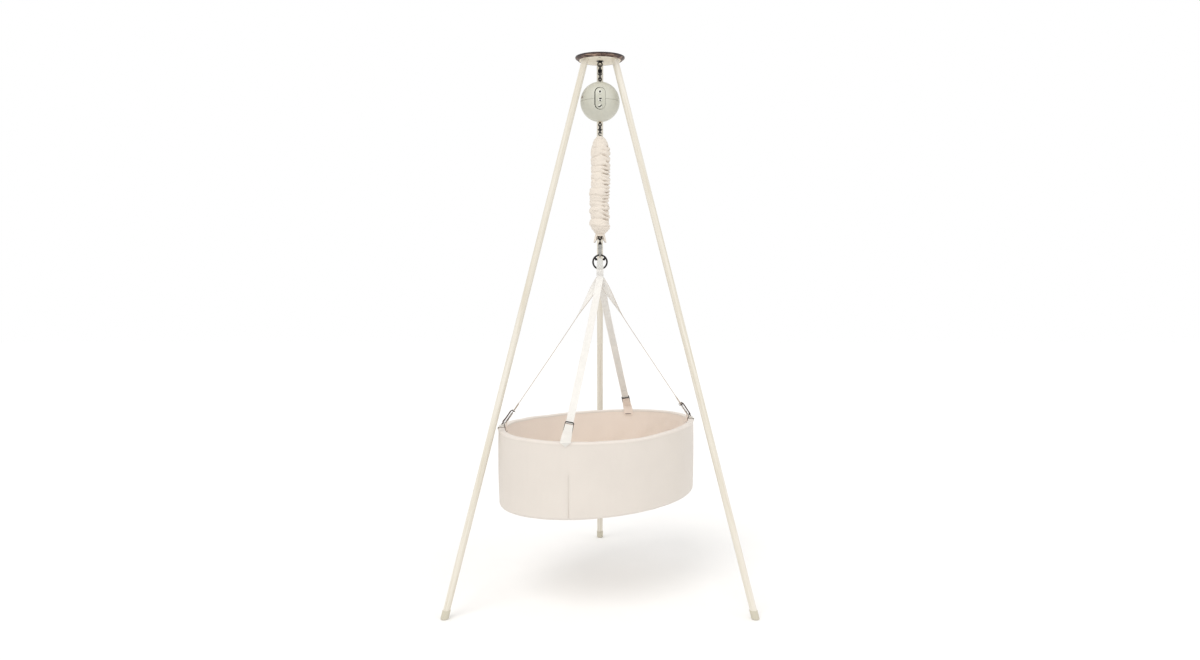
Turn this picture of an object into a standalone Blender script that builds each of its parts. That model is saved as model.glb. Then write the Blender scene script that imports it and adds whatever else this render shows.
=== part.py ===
"""Spring cradle hung from a tripod: three slanted legs under a round hub, a ball-shaped
bouncing drive on a carabiner, a coil spring in a gathered sleeve, a swivel snap, a ring, four
webbing legs and an oval fabric basket.

Metres, +Z up, floor at z = 0. The suspension axis is vertical. Everything is modelled about
that axis, and one empty moves it so that the origin lies under the middle of the whole object.
"""

import math

import bmesh
import bpy
from mathutils import Matrix, Vector

GAP = 0.0003  # clearance between pieces that touch
LINK_GAP = 0.00015  # what a loaded link keeps to the wire that it hangs on

# Facets round large, middling and small turned pieces
COARSE = 32
MEDIUM = 16
FINE = 12

# Stand
STAND_HEIGHT = 1.800
FOOT_CIRCLE_RADIUS = 0.567
LEG_TOP_RADIUS = 0.056
LEG_DIAMETER = 0.022
LEG_HEADINGS = {"front_left": -150.0, "front_right": -30.0, "rear": 90.0}
DISC_DIAMETER = 0.164
DISC_THICKNESS = 0.0125
DISC_CHAMFER_WIDTH = 0.0100
DISC_CHAMFER_HEIGHT = 0.0080
DISC_TOP_ROUND = 0.0015
HUB_PLATE_DIAMETER = 0.139
HUB_PLATE_THICKNESS = 0.0075
HUB_PLATE_ROUND = 0.0010
FOOT_DIAMETER = 0.0250
FOOT_HEIGHT = 0.028
FOOT_FLOOR = 0.005
FOOT_ROUND = 0.0030

# Fasteners of the hub
LEG_BOLT_SHANK = 0.0060
LEG_BOLT_HEAD = 0.0100
LEG_BOLT_HEAD_HEIGHT = 0.0025
LEG_BOLT_SINK = 0.0017
LEG_BOLT_LENGTH = 0.045
LEG_BOLT_SOCKET = 0.0040
DISC_SCREW_CIRCLE = 0.054
DISC_SCREW_HEAD = 0.0085
DISC_SCREW_HEAD_HEIGHT = 0.0025
DISC_SCREW_SHANK = 0.0035
DISC_SCREW_LENGTH = 0.0105
EYE_SHANK = 0.0080
EYE_NUT_WIDTH = 0.0130
EYE_NUT_HEIGHT = 0.0040
EYE_NUT_POCKET = 0.0160
EYE_COLLAR_RADIUS = 0.0115
EYE_COLLAR_HEIGHT = 0.0040
EYE_WIRE = 0.0045
EYE_RADIUS = 0.0070

# Carabiners, measured between wire centres
UPPER_HOOK_WIRE = 0.0050
UPPER_HOOK_WIDTH = 0.0180
UPPER_HOOK_LENGTH = 0.04525
LOWER_HOOK_WIRE = 0.0040
LOWER_HOOK_WIDTH = 0.0140
LOWER_HOOK_LENGTH = 0.0270
HOOK_HINGE_PIN = 0.0020
HOOK_CHEEK = 0.0012
HOOK_PIN_RISE = 1.1  # wire sizes between the lower bend and the gate's pin
GATE_TIP_GAP = 0.0005

# Drive housing
BALL_RADIUS = 0.0655
BALL_WALL = 0.0025
BALL_SEAM = 0.0004
BALL_SEAM_GROOVE = 0.0006
BALL_LIP_HEIGHT = 0.0040
BALL_LIP_WALL = 0.0016
HANGER_WIRE = 0.0035
HANGER_EYE_RADIUS = 0.0050
HANGER_SHANK = 0.0060
HANGER_COLLAR_RADIUS = 0.0060
HANGER_COLLAR_HEIGHT = 0.0020
HANGER_NUT_WIDTH = 0.0100
HANGER_NUT_HEIGHT = 0.0040
PANEL_WIDTH = 0.036
PANEL_LENGTH = 0.073
PANEL_RISE = 0.0028
PANEL_PROUD = 0.0006
PANEL_WALL = 0.0030
BUTTON_DIAMETER = 0.0140
BUTTON_HEIGHTS = {"power_button": 0.0228, "speed_button": -0.0033, "timer_button": -0.0238}
BUTTON_PROUD = 0.0008
BUTTON_FLANGE = 0.0012
BUTTON_TRAVEL = 0.0012
BOARD_WIDTH = 0.022
BOARD_LENGTH = 0.060
BOARD_THICKNESS = 0.0016
BOARD_DEPTH = 0.0480
BOARD_POST_RADIUS = 0.0020
BOARD_POST_SPREAD = 0.0120
SOCKET_DIAMETER = 0.0085
SOCKET_LENGTH = 0.0140
SOCKET_BORE = 0.0050
SOCKET_RISE = 0.0110
SOCKET_HEADING = -156.0

# Drive mechanism
FRAME_WIDTH = 0.060
FRAME_DEPTH = 0.024
FRAME_HEIGHT = 0.078
FRAME_WALL = 0.004
FRAME_BAR = 0.006
ROD_DIAMETER = 0.0080
ROD_TRAVEL = 0.020
RACK_OVERRUN = 0.0060
ROD_COLLAR_RADIUS = 0.0055
ROD_COLLAR_HEIGHT = 0.0030
ROD_EYE_DROP = 0.0095  # from the ball's lowest point to the middle of the rod's eye
BUSH_WALL = 0.0020
BUSH_FLANGE = 0.0020
GEAR_MODULE = 0.0010
PINION_TEETH = 14
PINION_WIDTH = 0.0070
PINION_SHAFT = 0.0040
RACK_PITCH_LINE = 0.0030
TOOTH_ADDENDUM = 0.8
TOOTH_DEDENDUM = 1.15
TOOTH_BACKLASH = 0.00025
PRESSURE_ANGLE = math.radians(20.0)
GEARBOX_DEPTH = 0.018
GEARBOX_HEIGHT = 0.028
GEARBOX_START = 0.0065
MOTOR_CAN_DIAMETER = 0.020
MOTOR_CAN_LENGTH = 0.024

# Spring and its sleeve
SPRING_WIRE = 0.0036
SPRING_RADIUS = 0.0170
SPRING_LENGTH = 0.3398  # between the wire centres of its two hooks' bends
SPRING_PITCH = 0.0130
SPRING_HOOK_RADIUS = 0.0050
SPRING_CONE_HEIGHT = 0.0150
SPRING_CONE_TURNS = 1.5
SPRING_POINTS = 8
SPRING_FIRST_HEADING = 0.0
SLEEVE_RADIUS = 0.0335
SLEEVE_TOP_SHARE = 0.66  # of the radius, at the gathered top
SLEEVE_SIDES = 20
SLEEVE_FOLD = 0.0030
SLEEVE_FOLD_COUNT = 13
SLEEVE_FRILL_RADIUS = 0.0175
SLEEVE_FRILL_WAVES = 5
SLEEVE_FRILL_WAVE = 0.0035

# Swivel snap and ring
LINK_WIRE = 0.0040
LINK_WIDTH = 0.0084
LINK_HEIGHT = 0.0216
SWIVEL_EYE_WIRE = 0.0035
SWIVEL_EYE_RADIUS = 0.0045
SWIVEL_STEM = 0.0050
SWIVEL_STEM_HEAD = 0.0090
SWIVEL_STEM_HEAD_HEIGHT = 0.0025
SWIVEL_SKIRT_RADIUS = 0.0066
SWIVEL_SKIRT_HEIGHT = 0.0090
SWIVEL_BARREL_RADIUS = 0.0070
SWIVEL_BARREL_HEIGHT = 0.0110
SNAP_WIRE = 0.0055
SNAP_RADIUS = 0.0068
SNAP_PLATE_WIDTH = 0.0120
SNAP_GATE_THICKNESS = 0.0024
SNAP_NOSE_RISE = 0.0060
SNAP_LENGTH = 0.02965  # from the barrel to the wire centre of its bend
RING_WIRE = 0.0060
RING_RADIUS = 0.0235

# Webbing
STRAP_WIDTH = 0.0235
STRAP_THICKNESS = 0.0018
STRAP_BUNDLE_LENGTH = 0.0450
STRAP_PINCH_LENGTH = 0.0150
STRAP_TWIST_LENGTH = 0.160
STRAP_FLAP_LENGTH = 0.030
STRAP_FALL = 0.5315  # from the ring's lower wire to the rim
STRAP_TWIST_STEP = math.radians(10.0)
STRAP_SEAT_RISE = 0.0010

# Basket
BASKET_LENGTH = 0.755
BASKET_WIDTH = 0.540
BASKET_HEADING = math.radians(45.2)
SIDE_HEIGHT = 0.239
WALL_OUTER = 0.0080
WALL_INNER = 0.0085
HOOP_THICKNESS = 0.0012
HOOP_HEIGHT = 0.022
HOOP_DROP = 0.0040
BINDING_HEIGHT = 0.0070
BINDING_OVERHANG = 0.0006
WALL_BELLY = 0.0015
WALL_HEM_ROUND = 0.0100
BASKET_SEGMENTS = 36
BOARD_PANEL_THICKNESS = 0.0060
BOARD_PANEL_LEDGE = 0.0060
MATTRESS_THICKNESS = 0.050
MATTRESS_CROWN = 0.010
MATTRESS_CLEARANCE = 0.0040
MATTRESS_DRAW = 0.0040
MATTRESS_CHANNELS = 5
MATTRESS_CHANNEL_DEPTH = 0.0022

# Tabs that join the straps to the rim
TAB_WIDTH = 0.033
TAB_THICKNESS = 0.0018
TAB_OUTSIDE_DROP = 0.0120
TAB_POINT = 0.0080
TAB_INSIDE_DROP = 0.0600
TAB_REACH = 0.0600
TAB_INSIDE_CLEARANCE = 0.0014  # the rim curves in towards the flat inner layer
BUCKLE_WIRE = 0.0026
BUCKLE_SIDE_CLEARANCE = 0.0005
BUCKLE_CORNER = 0.0020
BUCKLE_LOW = 0.0160
BUCKLE_HIGH = 0.0650
TACK_WIDTH = 0.0180
TACK_LENGTH = 0.0050
TACK_CLEARANCE = 0.0030

# Places that follow from the sizes above
DISC_UNDERSIDE = STAND_HEIGHT - DISC_THICKNESS
HUB_UNDERSIDE = DISC_UNDERSIDE
HUB_TOP = HUB_UNDERSIDE + HUB_PLATE_THICKNESS
EYE_COLLAR_LOW = HUB_UNDERSIDE - GAP - EYE_COLLAR_HEIGHT
EYE_CENTRE = EYE_COLLAR_LOW - EYE_RADIUS
FORE_SWING_HEIGHT = EYE_CENTRE - EYE_RADIUS
UPPER_HOOK_TOP = FORE_SWING_HEIGHT + (EYE_WIRE + UPPER_HOOK_WIRE) / 2 + LINK_GAP
SIDE_SWING_HEIGHT = UPPER_HOOK_TOP - UPPER_HOOK_LENGTH
HANGER_EYE_TOP = SIDE_SWING_HEIGHT + (HANGER_WIRE + UPPER_HOOK_WIRE) / 2 + LINK_GAP
HANGER_EYE_CENTRE = HANGER_EYE_TOP - HANGER_EYE_RADIUS
HANGER_COLLAR_TOP = HANGER_EYE_CENTRE - HANGER_EYE_RADIUS - HANGER_WIRE / 2
BALL_CENTRE_HEIGHT = HANGER_COLLAR_TOP - HANGER_COLLAR_HEIGHT - BALL_RADIUS
ROD_EYE_HEIGHT = BALL_CENTRE_HEIGHT - BALL_RADIUS - ROD_EYE_DROP
ROD_EYE_LOW = ROD_EYE_HEIGHT - HANGER_EYE_RADIUS
LOWER_HOOK_TOP = ROD_EYE_LOW + (HANGER_WIRE + LOWER_HOOK_WIRE) / 2 + LINK_GAP
LOWER_HOOK_LOW = LOWER_HOOK_TOP - LOWER_HOOK_LENGTH
SPRING_HOOK_TOP = LOWER_HOOK_LOW + (LOWER_HOOK_WIRE + SPRING_WIRE) / 2 + LINK_GAP
SPRING_HOOK_LOW = SPRING_HOOK_TOP - SPRING_LENGTH
LINK_TOP_HEIGHT = SPRING_HOOK_LOW + (LINK_WIRE + SPRING_WIRE) / 2 + LINK_GAP
SPRING_TOP = SPRING_HOOK_TOP - 2 * SPRING_HOOK_RADIUS
SPRING_LOW = SPRING_HOOK_LOW + 2 * SPRING_HOOK_RADIUS
LINK_LOW_HEIGHT = LINK_TOP_HEIGHT - LINK_HEIGHT
SWIVEL_EYE_TOP = LINK_LOW_HEIGHT + (LINK_WIRE + SWIVEL_EYE_WIRE) / 2 + LINK_GAP
SWIVEL_EYE_LOW = SWIVEL_EYE_TOP - 2 * SWIVEL_EYE_RADIUS
BARREL_TOP = SWIVEL_EYE_LOW - SWIVEL_EYE_WIRE / 2 - SWIVEL_SKIRT_HEIGHT - GAP
BARREL_LOW = BARREL_TOP - SWIVEL_BARREL_HEIGHT
SNAP_LOW = BARREL_LOW - SNAP_LENGTH
RING_TOP_WIRE = SNAP_LOW + (RING_WIRE + SNAP_WIRE) / 2 + LINK_GAP
RING_HEIGHT = RING_TOP_WIRE - RING_RADIUS
RING_LOW_WIRE = RING_HEIGHT - RING_RADIUS
RIM_HEIGHT = RING_LOW_WIRE - STRAP_FALL
BUNDLE_LOW = RING_LOW_WIRE - STRAP_BUNDLE_LENGTH
PINION_OFFSET = RACK_PITCH_LINE + GEAR_MODULE * PINION_TEETH / 2
BASKET_A = BASKET_LENGTH / 2
BASKET_B = BASKET_WIDTH / 2
WALL_TOTAL = WALL_OUTER + WALL_INNER + HOOP_THICKNESS + 2 * GAP
LEG_SLOPE = (FOOT_CIRCLE_RADIUS - LEG_TOP_RADIUS) / HUB_UNDERSIDE

# The origin lies under the middle of the object's box: between the outside of the tab on the
# basket's front and the outside of the rear foot.
BASKET_FRONT = math.hypot(BASKET_A * math.sin(BASKET_HEADING), BASKET_B * math.cos(BASKET_HEADING))
FRONT_REACH = BASKET_FRONT + GAP + TAB_THICKNESS
REAR_REACH = FOOT_CIRCLE_RADIUS + FOOT_DIAMETER / 2
AXIS_Y = (FRONT_REACH - REAR_REACH) / 2

PARTS = "spring_cradle"
CUTTERS = "cutters"


# Scene helpers


def clear_scene():
    for obj in list(bpy.data.objects):
        bpy.data.objects.remove(obj, do_unlink=True)
    for name in (PARTS, CUTTERS):
        collection = bpy.data.collections.get(name)
        if collection:
            bpy.data.collections.remove(collection)
        collection = bpy.data.collections.new(name)
        bpy.context.scene.collection.children.link(collection)


def material(name, colour, roughness, metallic=0.0):
    found = bpy.data.materials.get(name) or bpy.data.materials.new(name)
    found.use_nodes = True
    shader = found.node_tree.nodes["Principled BSDF"]
    shader.inputs["Base Color"].default_value = (*colour, 1.0)
    shader.inputs["Roughness"].default_value = roughness
    shader.inputs["Metallic"].default_value = metallic
    return found


def pivot(name, location, parent=None):
    """An empty on a joint's axis. It carries the pieces that move about it."""
    empty = bpy.data.objects.new(name, None)
    empty.empty_display_size = 0.02
    bpy.data.collections[PARTS].objects.link(empty)
    empty.parent = parent
    empty.location = location
    if parent is not None and parent.parent is not None:
        empty.location = Vector(location) - axis_place(parent)
    return empty


def axis_place(empty):
    """Where an empty stands, measured from the foot of the suspension axis."""
    place = Vector(empty.location)
    while empty.parent is not None and empty.parent.parent is not None:
        empty = empty.parent
        place += empty.location
    return place if empty.parent is not None else Vector()


def carry(obj, empty, finish):
    """Puts a piece under the empty of its body, where it already stands, and gives its material."""
    obj.parent = empty
    obj.location = obj.location - axis_place(empty)
    obj.data.materials.clear()
    obj.data.materials.append(finish)
    return obj


def object_of(name, mesh, cutter=False):
    obj = bpy.data.objects.new(name, mesh)
    bpy.data.collections[CUTTERS if cutter else PARTS].objects.link(obj)
    if cutter:
        obj.hide_render = True
        obj.display_type = "WIRE"
    return obj


def mesh_of(name, work, smooth_angle=None):
    mesh = bpy.data.meshes.new(name)
    work.to_mesh(mesh)
    work.free()
    if smooth_angle:
        mesh.shade_smooth()
        mesh.set_sharp_from_angle(angle=math.radians(smooth_angle))
    return mesh


def cylinder(name, radius, start, end, segments=FINE, cutter=False, far_radius=None):
    """A round bar, or a cone, between two points."""
    start, end = Vector(start), Vector(end)
    work = bmesh.new()
    bmesh.ops.create_cone(
        work,
        cap_ends=True,
        segments=segments,
        radius1=radius,
        radius2=radius if far_radius is None else far_radius,
        depth=(end - start).length,
    )
    turn = Vector((0, 0, 1)).rotation_difference(end - start).to_matrix().to_4x4()
    bmesh.ops.transform(work, matrix=Matrix.Translation((start + end) / 2) @ turn, verts=work.verts)
    return object_of(name, mesh_of(name, work, 40), cutter)


def box(name, low, high, cutter=False):
    low, high = Vector(low), Vector(high)
    work = bmesh.new()
    bmesh.ops.create_cube(work, size=1.0)
    size = high - low
    place = Matrix.Translation((low + high) / 2) @ Matrix.Diagonal((*size, 1.0))
    bmesh.ops.transform(work, matrix=place, verts=work.verts)
    return object_of(name, mesh_of(name, work), cutter)


def turned(name, profile, steps=COARSE, closed=False, cutter=False):
    """A profile of (radius, height), from the top down its outer side, turned about the axis."""
    mesh = bpy.data.meshes.new(name)
    edges = [(i, i + 1) for i in range(len(profile) - 1)]
    if closed:
        edges.append((len(profile) - 1, 0))
    mesh.from_pydata([(r, 0.0, z) for r, z in profile], edges, [])
    obj = object_of(name, mesh, cutter)
    screw = obj.modifiers.new("turn", "SCREW")
    screw.steps = steps
    screw.render_steps = steps
    screw.use_merge_vertices = True
    screw.merge_threshold = 0.00001
    screw.use_smooth_shade = False
    return obj


def torus(name, radius, wire, centre, axis="X", segments=20, sides=6, cutter=False):
    """A closed ring of round wire about the X, Y or Z direction."""
    bpy.ops.mesh.primitive_torus_add(
        major_segments=segments, minor_segments=sides, major_radius=radius, minor_radius=wire / 2
    )
    made = bpy.context.object
    mesh = made.data
    bpy.data.objects.remove(made, do_unlink=True)
    if axis == "X":
        mesh.transform(Matrix.Rotation(math.pi / 2, 4, "Y"))
    if axis == "Y":
        mesh.transform(Matrix.Rotation(math.pi / 2, 4, "X"))
    mesh.transform(Matrix.Translation(centre))
    mesh.name = name
    mesh.shade_smooth()
    return object_of(name, mesh, cutter)


def wire(name, points, diameter, cyclic=False, sides=1):
    """A round wire through the points, as a closed mesh with welded caps."""
    curve = bpy.data.curves.new(name, "CURVE")
    curve.dimensions = "3D"
    curve.bevel_depth = diameter / 2
    curve.bevel_resolution = sides
    curve.use_fill_caps = True
    spline = curve.splines.new("POLY")
    spline.points.add(len(points) - 1)
    for place, point in zip(spline.points, points):
        place.co = (*point, 1.0)
    spline.use_cyclic_u = cyclic
    guide = bpy.data.objects.new(name, curve)
    bpy.context.scene.collection.objects.link(guide)
    bpy.context.view_layer.update()
    graph = bpy.context.evaluated_depsgraph_get()
    mesh = bpy.data.meshes.new_from_object(guide.evaluated_get(graph))
    bpy.data.objects.remove(guide, do_unlink=True)
    bpy.data.curves.remove(curve)
    work = bmesh.new()
    work.from_mesh(mesh)
    bmesh.ops.remove_doubles(work, verts=work.verts, dist=0.000001)
    bmesh.ops.recalc_face_normals(work, faces=work.faces)
    bpy.data.meshes.remove(mesh)
    return object_of(name, mesh_of(name, work, 50))


def prism(name, outline, depth_direction, half_depth, place, cutter=False):
    """A flat outline of (across, up) points, given depth to both sides of its own plane."""
    work = bmesh.new()
    across, up = place["across"], place["up"]
    origin = Vector(place["origin"])
    verts = [
        work.verts.new(origin + across * a + up * b - depth_direction * half_depth)
        for a, b in outline
    ]
    face = work.faces.new(verts)
    pulled = bmesh.ops.extrude_face_region(work, geom=[face])
    moved = [item for item in pulled["geom"] if isinstance(item, bmesh.types.BMVert)]
    bmesh.ops.translate(work, vec=depth_direction * 2 * half_depth, verts=moved)
    bmesh.ops.recalc_face_normals(work, faces=work.faces)
    return object_of(name, mesh_of(name, work, 30), cutter)


def combine(obj, other, operation):
    """Adds a Boolean. The other object becomes a hidden helper."""
    if other.name in bpy.data.collections[PARTS].objects:
        bpy.data.collections[PARTS].objects.unlink(other)
        bpy.data.collections[CUTTERS].objects.link(other)
        other.hide_render = True
        other.display_type = "WIRE"
    step = obj.modifiers.new(operation.lower(), "BOOLEAN")
    step.operation = operation
    step.solver = "EXACT"
    step.object = other
    return obj


def fuse(obj, *others):
    for other in others:
        combine(obj, other, "UNION")
    return obj


def carve(obj, *others):
    for other in others:
        combine(obj, other, "DIFFERENCE")
    return obj


def settle(obj):
    """Applies the modifiers so that the piece can be carried away from its helpers."""
    bpy.context.view_layer.update()
    graph = bpy.context.evaluated_depsgraph_get()
    mesh = bpy.data.meshes.new_from_object(obj.evaluated_get(graph))
    obj.modifiers.clear()
    old = obj.data
    obj.data = mesh
    bpy.data.meshes.remove(old)
    mesh.name = obj.name
    mesh.shade_smooth()
    mesh.set_sharp_from_angle(angle=math.radians(35))
    return obj


def rounded(obj, width, segments=2, angle=50):
    bevel = obj.modifiers.new("round", "BEVEL")
    bevel.width = width
    bevel.segments = segments
    bevel.limit_method = "ANGLE"
    bevel.angle_limit = math.radians(angle)
    return obj


def arc(centre, radius, first, last, count, plane="XZ"):
    """Points on an arc, in degrees from the plane's first direction towards its second."""
    points = []
    for i in range(count + 1):
        turn = math.radians(first + (last - first) * i / count)
        across, up = radius * math.cos(turn), radius * math.sin(turn)
        offset = (across, 0.0, up) if plane == "XZ" else (0.0, across, up)
        points.append(Vector(centre) + Vector(offset))
    return points


# Finishes

WALNUT = material("walnut", (0.075, 0.034, 0.026), 0.45)
CREAM_WOOD = material("cream_wood", (0.72, 0.66, 0.55), 0.50)
DARK_STEEL = material("dark_steel", (0.16, 0.16, 0.16), 0.30, 1.0)
BRIGHT_STEEL = material("bright_steel", (0.55, 0.56, 0.57), 0.25, 1.0)
SHELL_PLASTIC = material("shell_plastic", (0.62, 0.62, 0.56), 0.42)
PANEL_PLASTIC = material("panel_plastic", (0.70, 0.69, 0.62), 0.35)
BUTTON_PLASTIC = material("button_plastic", (0.82, 0.82, 0.78), 0.35)
INNER_PLASTIC = material("inner_plastic", (0.12, 0.12, 0.13), 0.50)
BOARD_GREEN = material("board_green", (0.03, 0.17, 0.08), 0.45)
BRASS = material("brass", (0.62, 0.44, 0.18), 0.30, 1.0)
RUBBER = material("rubber", (0.60, 0.56, 0.48), 0.80)
SLEEVE_CLOTH = material("sleeve_cloth", (0.80, 0.69, 0.60), 0.90)
WEBBING = material("webbing", (0.90, 0.88, 0.84), 0.85)
OUTER_CLOTH = material("outer_cloth", (0.80, 0.75, 0.68), 0.92)
LINING_CLOTH = material("lining_cloth", (0.74, 0.60, 0.49), 0.92)
MATTRESS_CLOTH = material("mattress_cloth", (0.86, 0.83, 0.78), 0.92)
PLYWOOD = material("plywood", (0.66, 0.50, 0.32), 0.60)


# Stand


def leg_point(heading, height):
    """Where a leg's centre line stands at a height."""
    radius = LEG_TOP_RADIUS + (HUB_UNDERSIDE - height) * LEG_SLOPE
    turn = math.radians(heading)
    return Vector((radius * math.cos(turn), radius * math.sin(turn), height))


def slanted_bar(name, heading, radius, low, high, segments=MEDIUM, cutter=False):
    """A round bar along a leg's centre line, with both ends cut level."""
    start, end = leg_point(heading, low), leg_point(heading, high)
    bar = cylinder(name, radius, start, end, segments, cutter)
    along = (end - start).normalized()
    for vert in bar.data.vertices:
        level = low if (vert.co - start).length < (vert.co - end).length else high
        vert.co += along * ((level - vert.co.z) / along.z)
    return bar


def make_disc(stand):
    radius = DISC_DIAMETER / 2
    pocket = HUB_PLATE_DIAMETER / 2 + GAP
    profile = [
        (0.0, STAND_HEIGHT),
        (radius - DISC_TOP_ROUND, STAND_HEIGHT),
        (radius - DISC_TOP_ROUND * 0.3, STAND_HEIGHT - DISC_TOP_ROUND * 0.3),
        (radius, STAND_HEIGHT - DISC_TOP_ROUND),
        (radius, DISC_UNDERSIDE + DISC_CHAMFER_HEIGHT),
        (radius - DISC_CHAMFER_WIDTH, DISC_UNDERSIDE),
        (pocket, DISC_UNDERSIDE),
        (pocket, HUB_TOP + GAP),
        (0.0, HUB_TOP + GAP),
    ]
    disc = turned("top_disc", profile)
    for name, heading in disc_screw_headings():
        place = disc_screw_place(heading)
        hole_top = HUB_UNDERSIDE + DISC_SCREW_LENGTH + GAP
        hole = cylinder(
            name + "_hole", DISC_SCREW_SHANK / 2 + GAP, place, (place.x, place.y, hole_top), FINE, True
        )
        carve(disc, hole)
    return carry(settle(disc), stand, WALNUT)


def disc_screw_headings():
    return [(f"disc_screw_{i + 1}", -90.0 + 120.0 * i) for i in range(3)]


def disc_screw_place(heading):
    turn = math.radians(heading)
    return Vector(
        (DISC_SCREW_CIRCLE * math.cos(turn), DISC_SCREW_CIRCLE * math.sin(turn), HUB_UNDERSIDE)
    )


def make_disc_screw(name, heading, stand, clearance=0.0, cutter=False):
    """A countersunk screw from below through the hub plate into the disc."""
    place = disc_screw_place(heading)
    head = DISC_SCREW_HEAD / 2 + clearance
    shank = DISC_SCREW_SHANK / 2 + clearance
    top = DISC_SCREW_LENGTH + clearance
    start = -0.0002 if cutter else 0.0003
    profile = [
        (0.0, top),
        (shank, top),
        (shank, DISC_SCREW_HEAD_HEIGHT + clearance),
        (head, 0.0007 + clearance),
        (head, start),
        (0.0, start),
    ]
    screw = turned(name, profile, FINE, cutter=cutter)
    screw.location = place
    if cutter:
        return screw
    return carry(settle(screw), stand, BRIGHT_STEEL)


def leg_bolt_parts(name, heading, clearance, cutter):
    """The head and the shank of the bolt that draws a leg up against the hub plate."""
    seat = leg_point(heading, HUB_TOP)
    along = (leg_point(heading, 0.0) - seat).normalized()
    head_top = seat + along * (LEG_BOLT_SINK - (0.004 if cutter else 0.0))
    head_low = seat + along * (LEG_BOLT_SINK + LEG_BOLT_HEAD_HEIGHT + clearance)
    end = seat + along * (LEG_BOLT_LENGTH + clearance)
    head = cylinder(name + "_head", LEG_BOLT_HEAD / 2 + clearance, head_top, head_low, FINE, cutter)
    shank_top = head_top + along * 0.0005
    shank = cylinder(name + "_shank", LEG_BOLT_SHANK / 2 + clearance, shank_top, end, 10, cutter)
    return head, shank


def make_leg_bolt(name, heading, stand):
    head, shank = leg_bolt_parts(name, heading, 0.0, False)
    head.name = name
    seat = leg_point(heading, HUB_TOP)
    along = (leg_point(heading, 0.0) - seat).normalized()
    recess = cylinder(
        name + "_recess",
        LEG_BOLT_SOCKET / 2,
        seat,
        seat + along * (LEG_BOLT_SINK + LEG_BOLT_HEAD_HEIGHT * 0.6),
        6,
        True,
    )
    fuse(head, shank)
    carve(head, recess)
    return carry(settle(head), stand, BRIGHT_STEEL)


def make_hub_plate(stand):
    radius = HUB_PLATE_DIAMETER / 2
    bore = EYE_SHANK / 2 + GAP
    pocket = EYE_NUT_POCKET / 2
    pocket_floor = HUB_TOP - EYE_NUT_HEIGHT - GAP
    profile = [
        (pocket, HUB_TOP),
        (radius, HUB_TOP),
        (radius, HUB_UNDERSIDE + HUB_PLATE_ROUND),
        (radius - HUB_PLATE_ROUND, HUB_UNDERSIDE),
        (bore, HUB_UNDERSIDE),
        (bore, pocket_floor),
        (pocket, pocket_floor),
    ]
    plate = turned("hub_plate", profile, closed=True)
    for leg, heading in LEG_HEADINGS.items():
        carve(plate, *leg_bolt_parts(leg + "_bolt_hole", heading, GAP, True))
    for name, heading in disc_screw_headings():
        carve(plate, make_disc_screw(name + "_seat", heading, stand, GAP, True))
    return carry(settle(plate), stand, CREAM_WOOD)


def make_leg(leg, heading, stand):
    bar = slanted_bar(
        "leg_" + leg, heading, LEG_DIAMETER / 2, FOOT_FLOOR + GAP, HUB_UNDERSIDE - GAP
    )
    _, hole = leg_bolt_parts(leg + "_leg_hole", heading, GAP, True)
    carve(bar, hole)
    return carry(settle(bar), stand, CREAM_WOOD)


def make_foot(leg, heading, stand):
    cap = slanted_bar("foot_" + leg, heading, FOOT_DIAMETER / 2, 0.0, FOOT_HEIGHT)
    rounded(cap, FOOT_ROUND, 1)
    hole = slanted_bar(
        leg + "_foot_hole", heading, LEG_DIAMETER / 2 + GAP, FOOT_FLOOR, FOOT_HEIGHT * 2, cutter=True
    )
    carve(cap, hole)
    return carry(settle(cap), stand, RUBBER)


def make_eye_bolt(stand):
    """The eye under the hub, which faces the front."""
    eye = torus("eye_bolt", EYE_RADIUS, EYE_WIRE, (0, 0, EYE_CENTRE), "Y")
    collar_top = HUB_UNDERSIDE - GAP
    profile = [
        (0.0, collar_top),
        (EYE_COLLAR_RADIUS, collar_top),
        (EYE_COLLAR_RADIUS, collar_top - EYE_COLLAR_HEIGHT * 0.35),
        (EYE_COLLAR_RADIUS * 0.72, collar_top - EYE_COLLAR_HEIGHT * 0.8),
        (EYE_WIRE * 0.75, collar_top - EYE_COLLAR_HEIGHT),
        (0.0, collar_top - EYE_COLLAR_HEIGHT),
    ]
    collar = turned("eye_collar", profile, MEDIUM)
    shank = cylinder(
        "eye_shank", EYE_SHANK / 2, (0, 0, collar_top - 0.001), (0, 0, HUB_TOP - GAP)
    )
    fuse(eye, collar, shank)
    return carry(settle(eye), stand, BRIGHT_STEEL)


def make_nut(name, width, low, height, shank, body):
    """A hexagon nut on a vertical shank."""
    nut = cylinder(name, width / math.sqrt(3), (0, 0, low), (0, 0, low + height), 6)
    bore = cylinder(
        name + "_bore", shank / 2 + GAP, (0, 0, low - 0.001), (0, 0, low + height + 0.001), cutter=True
    )
    carve(nut, bore)
    return carry(settle(nut), body, BRIGHT_STEEL)


# Carabiners


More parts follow.
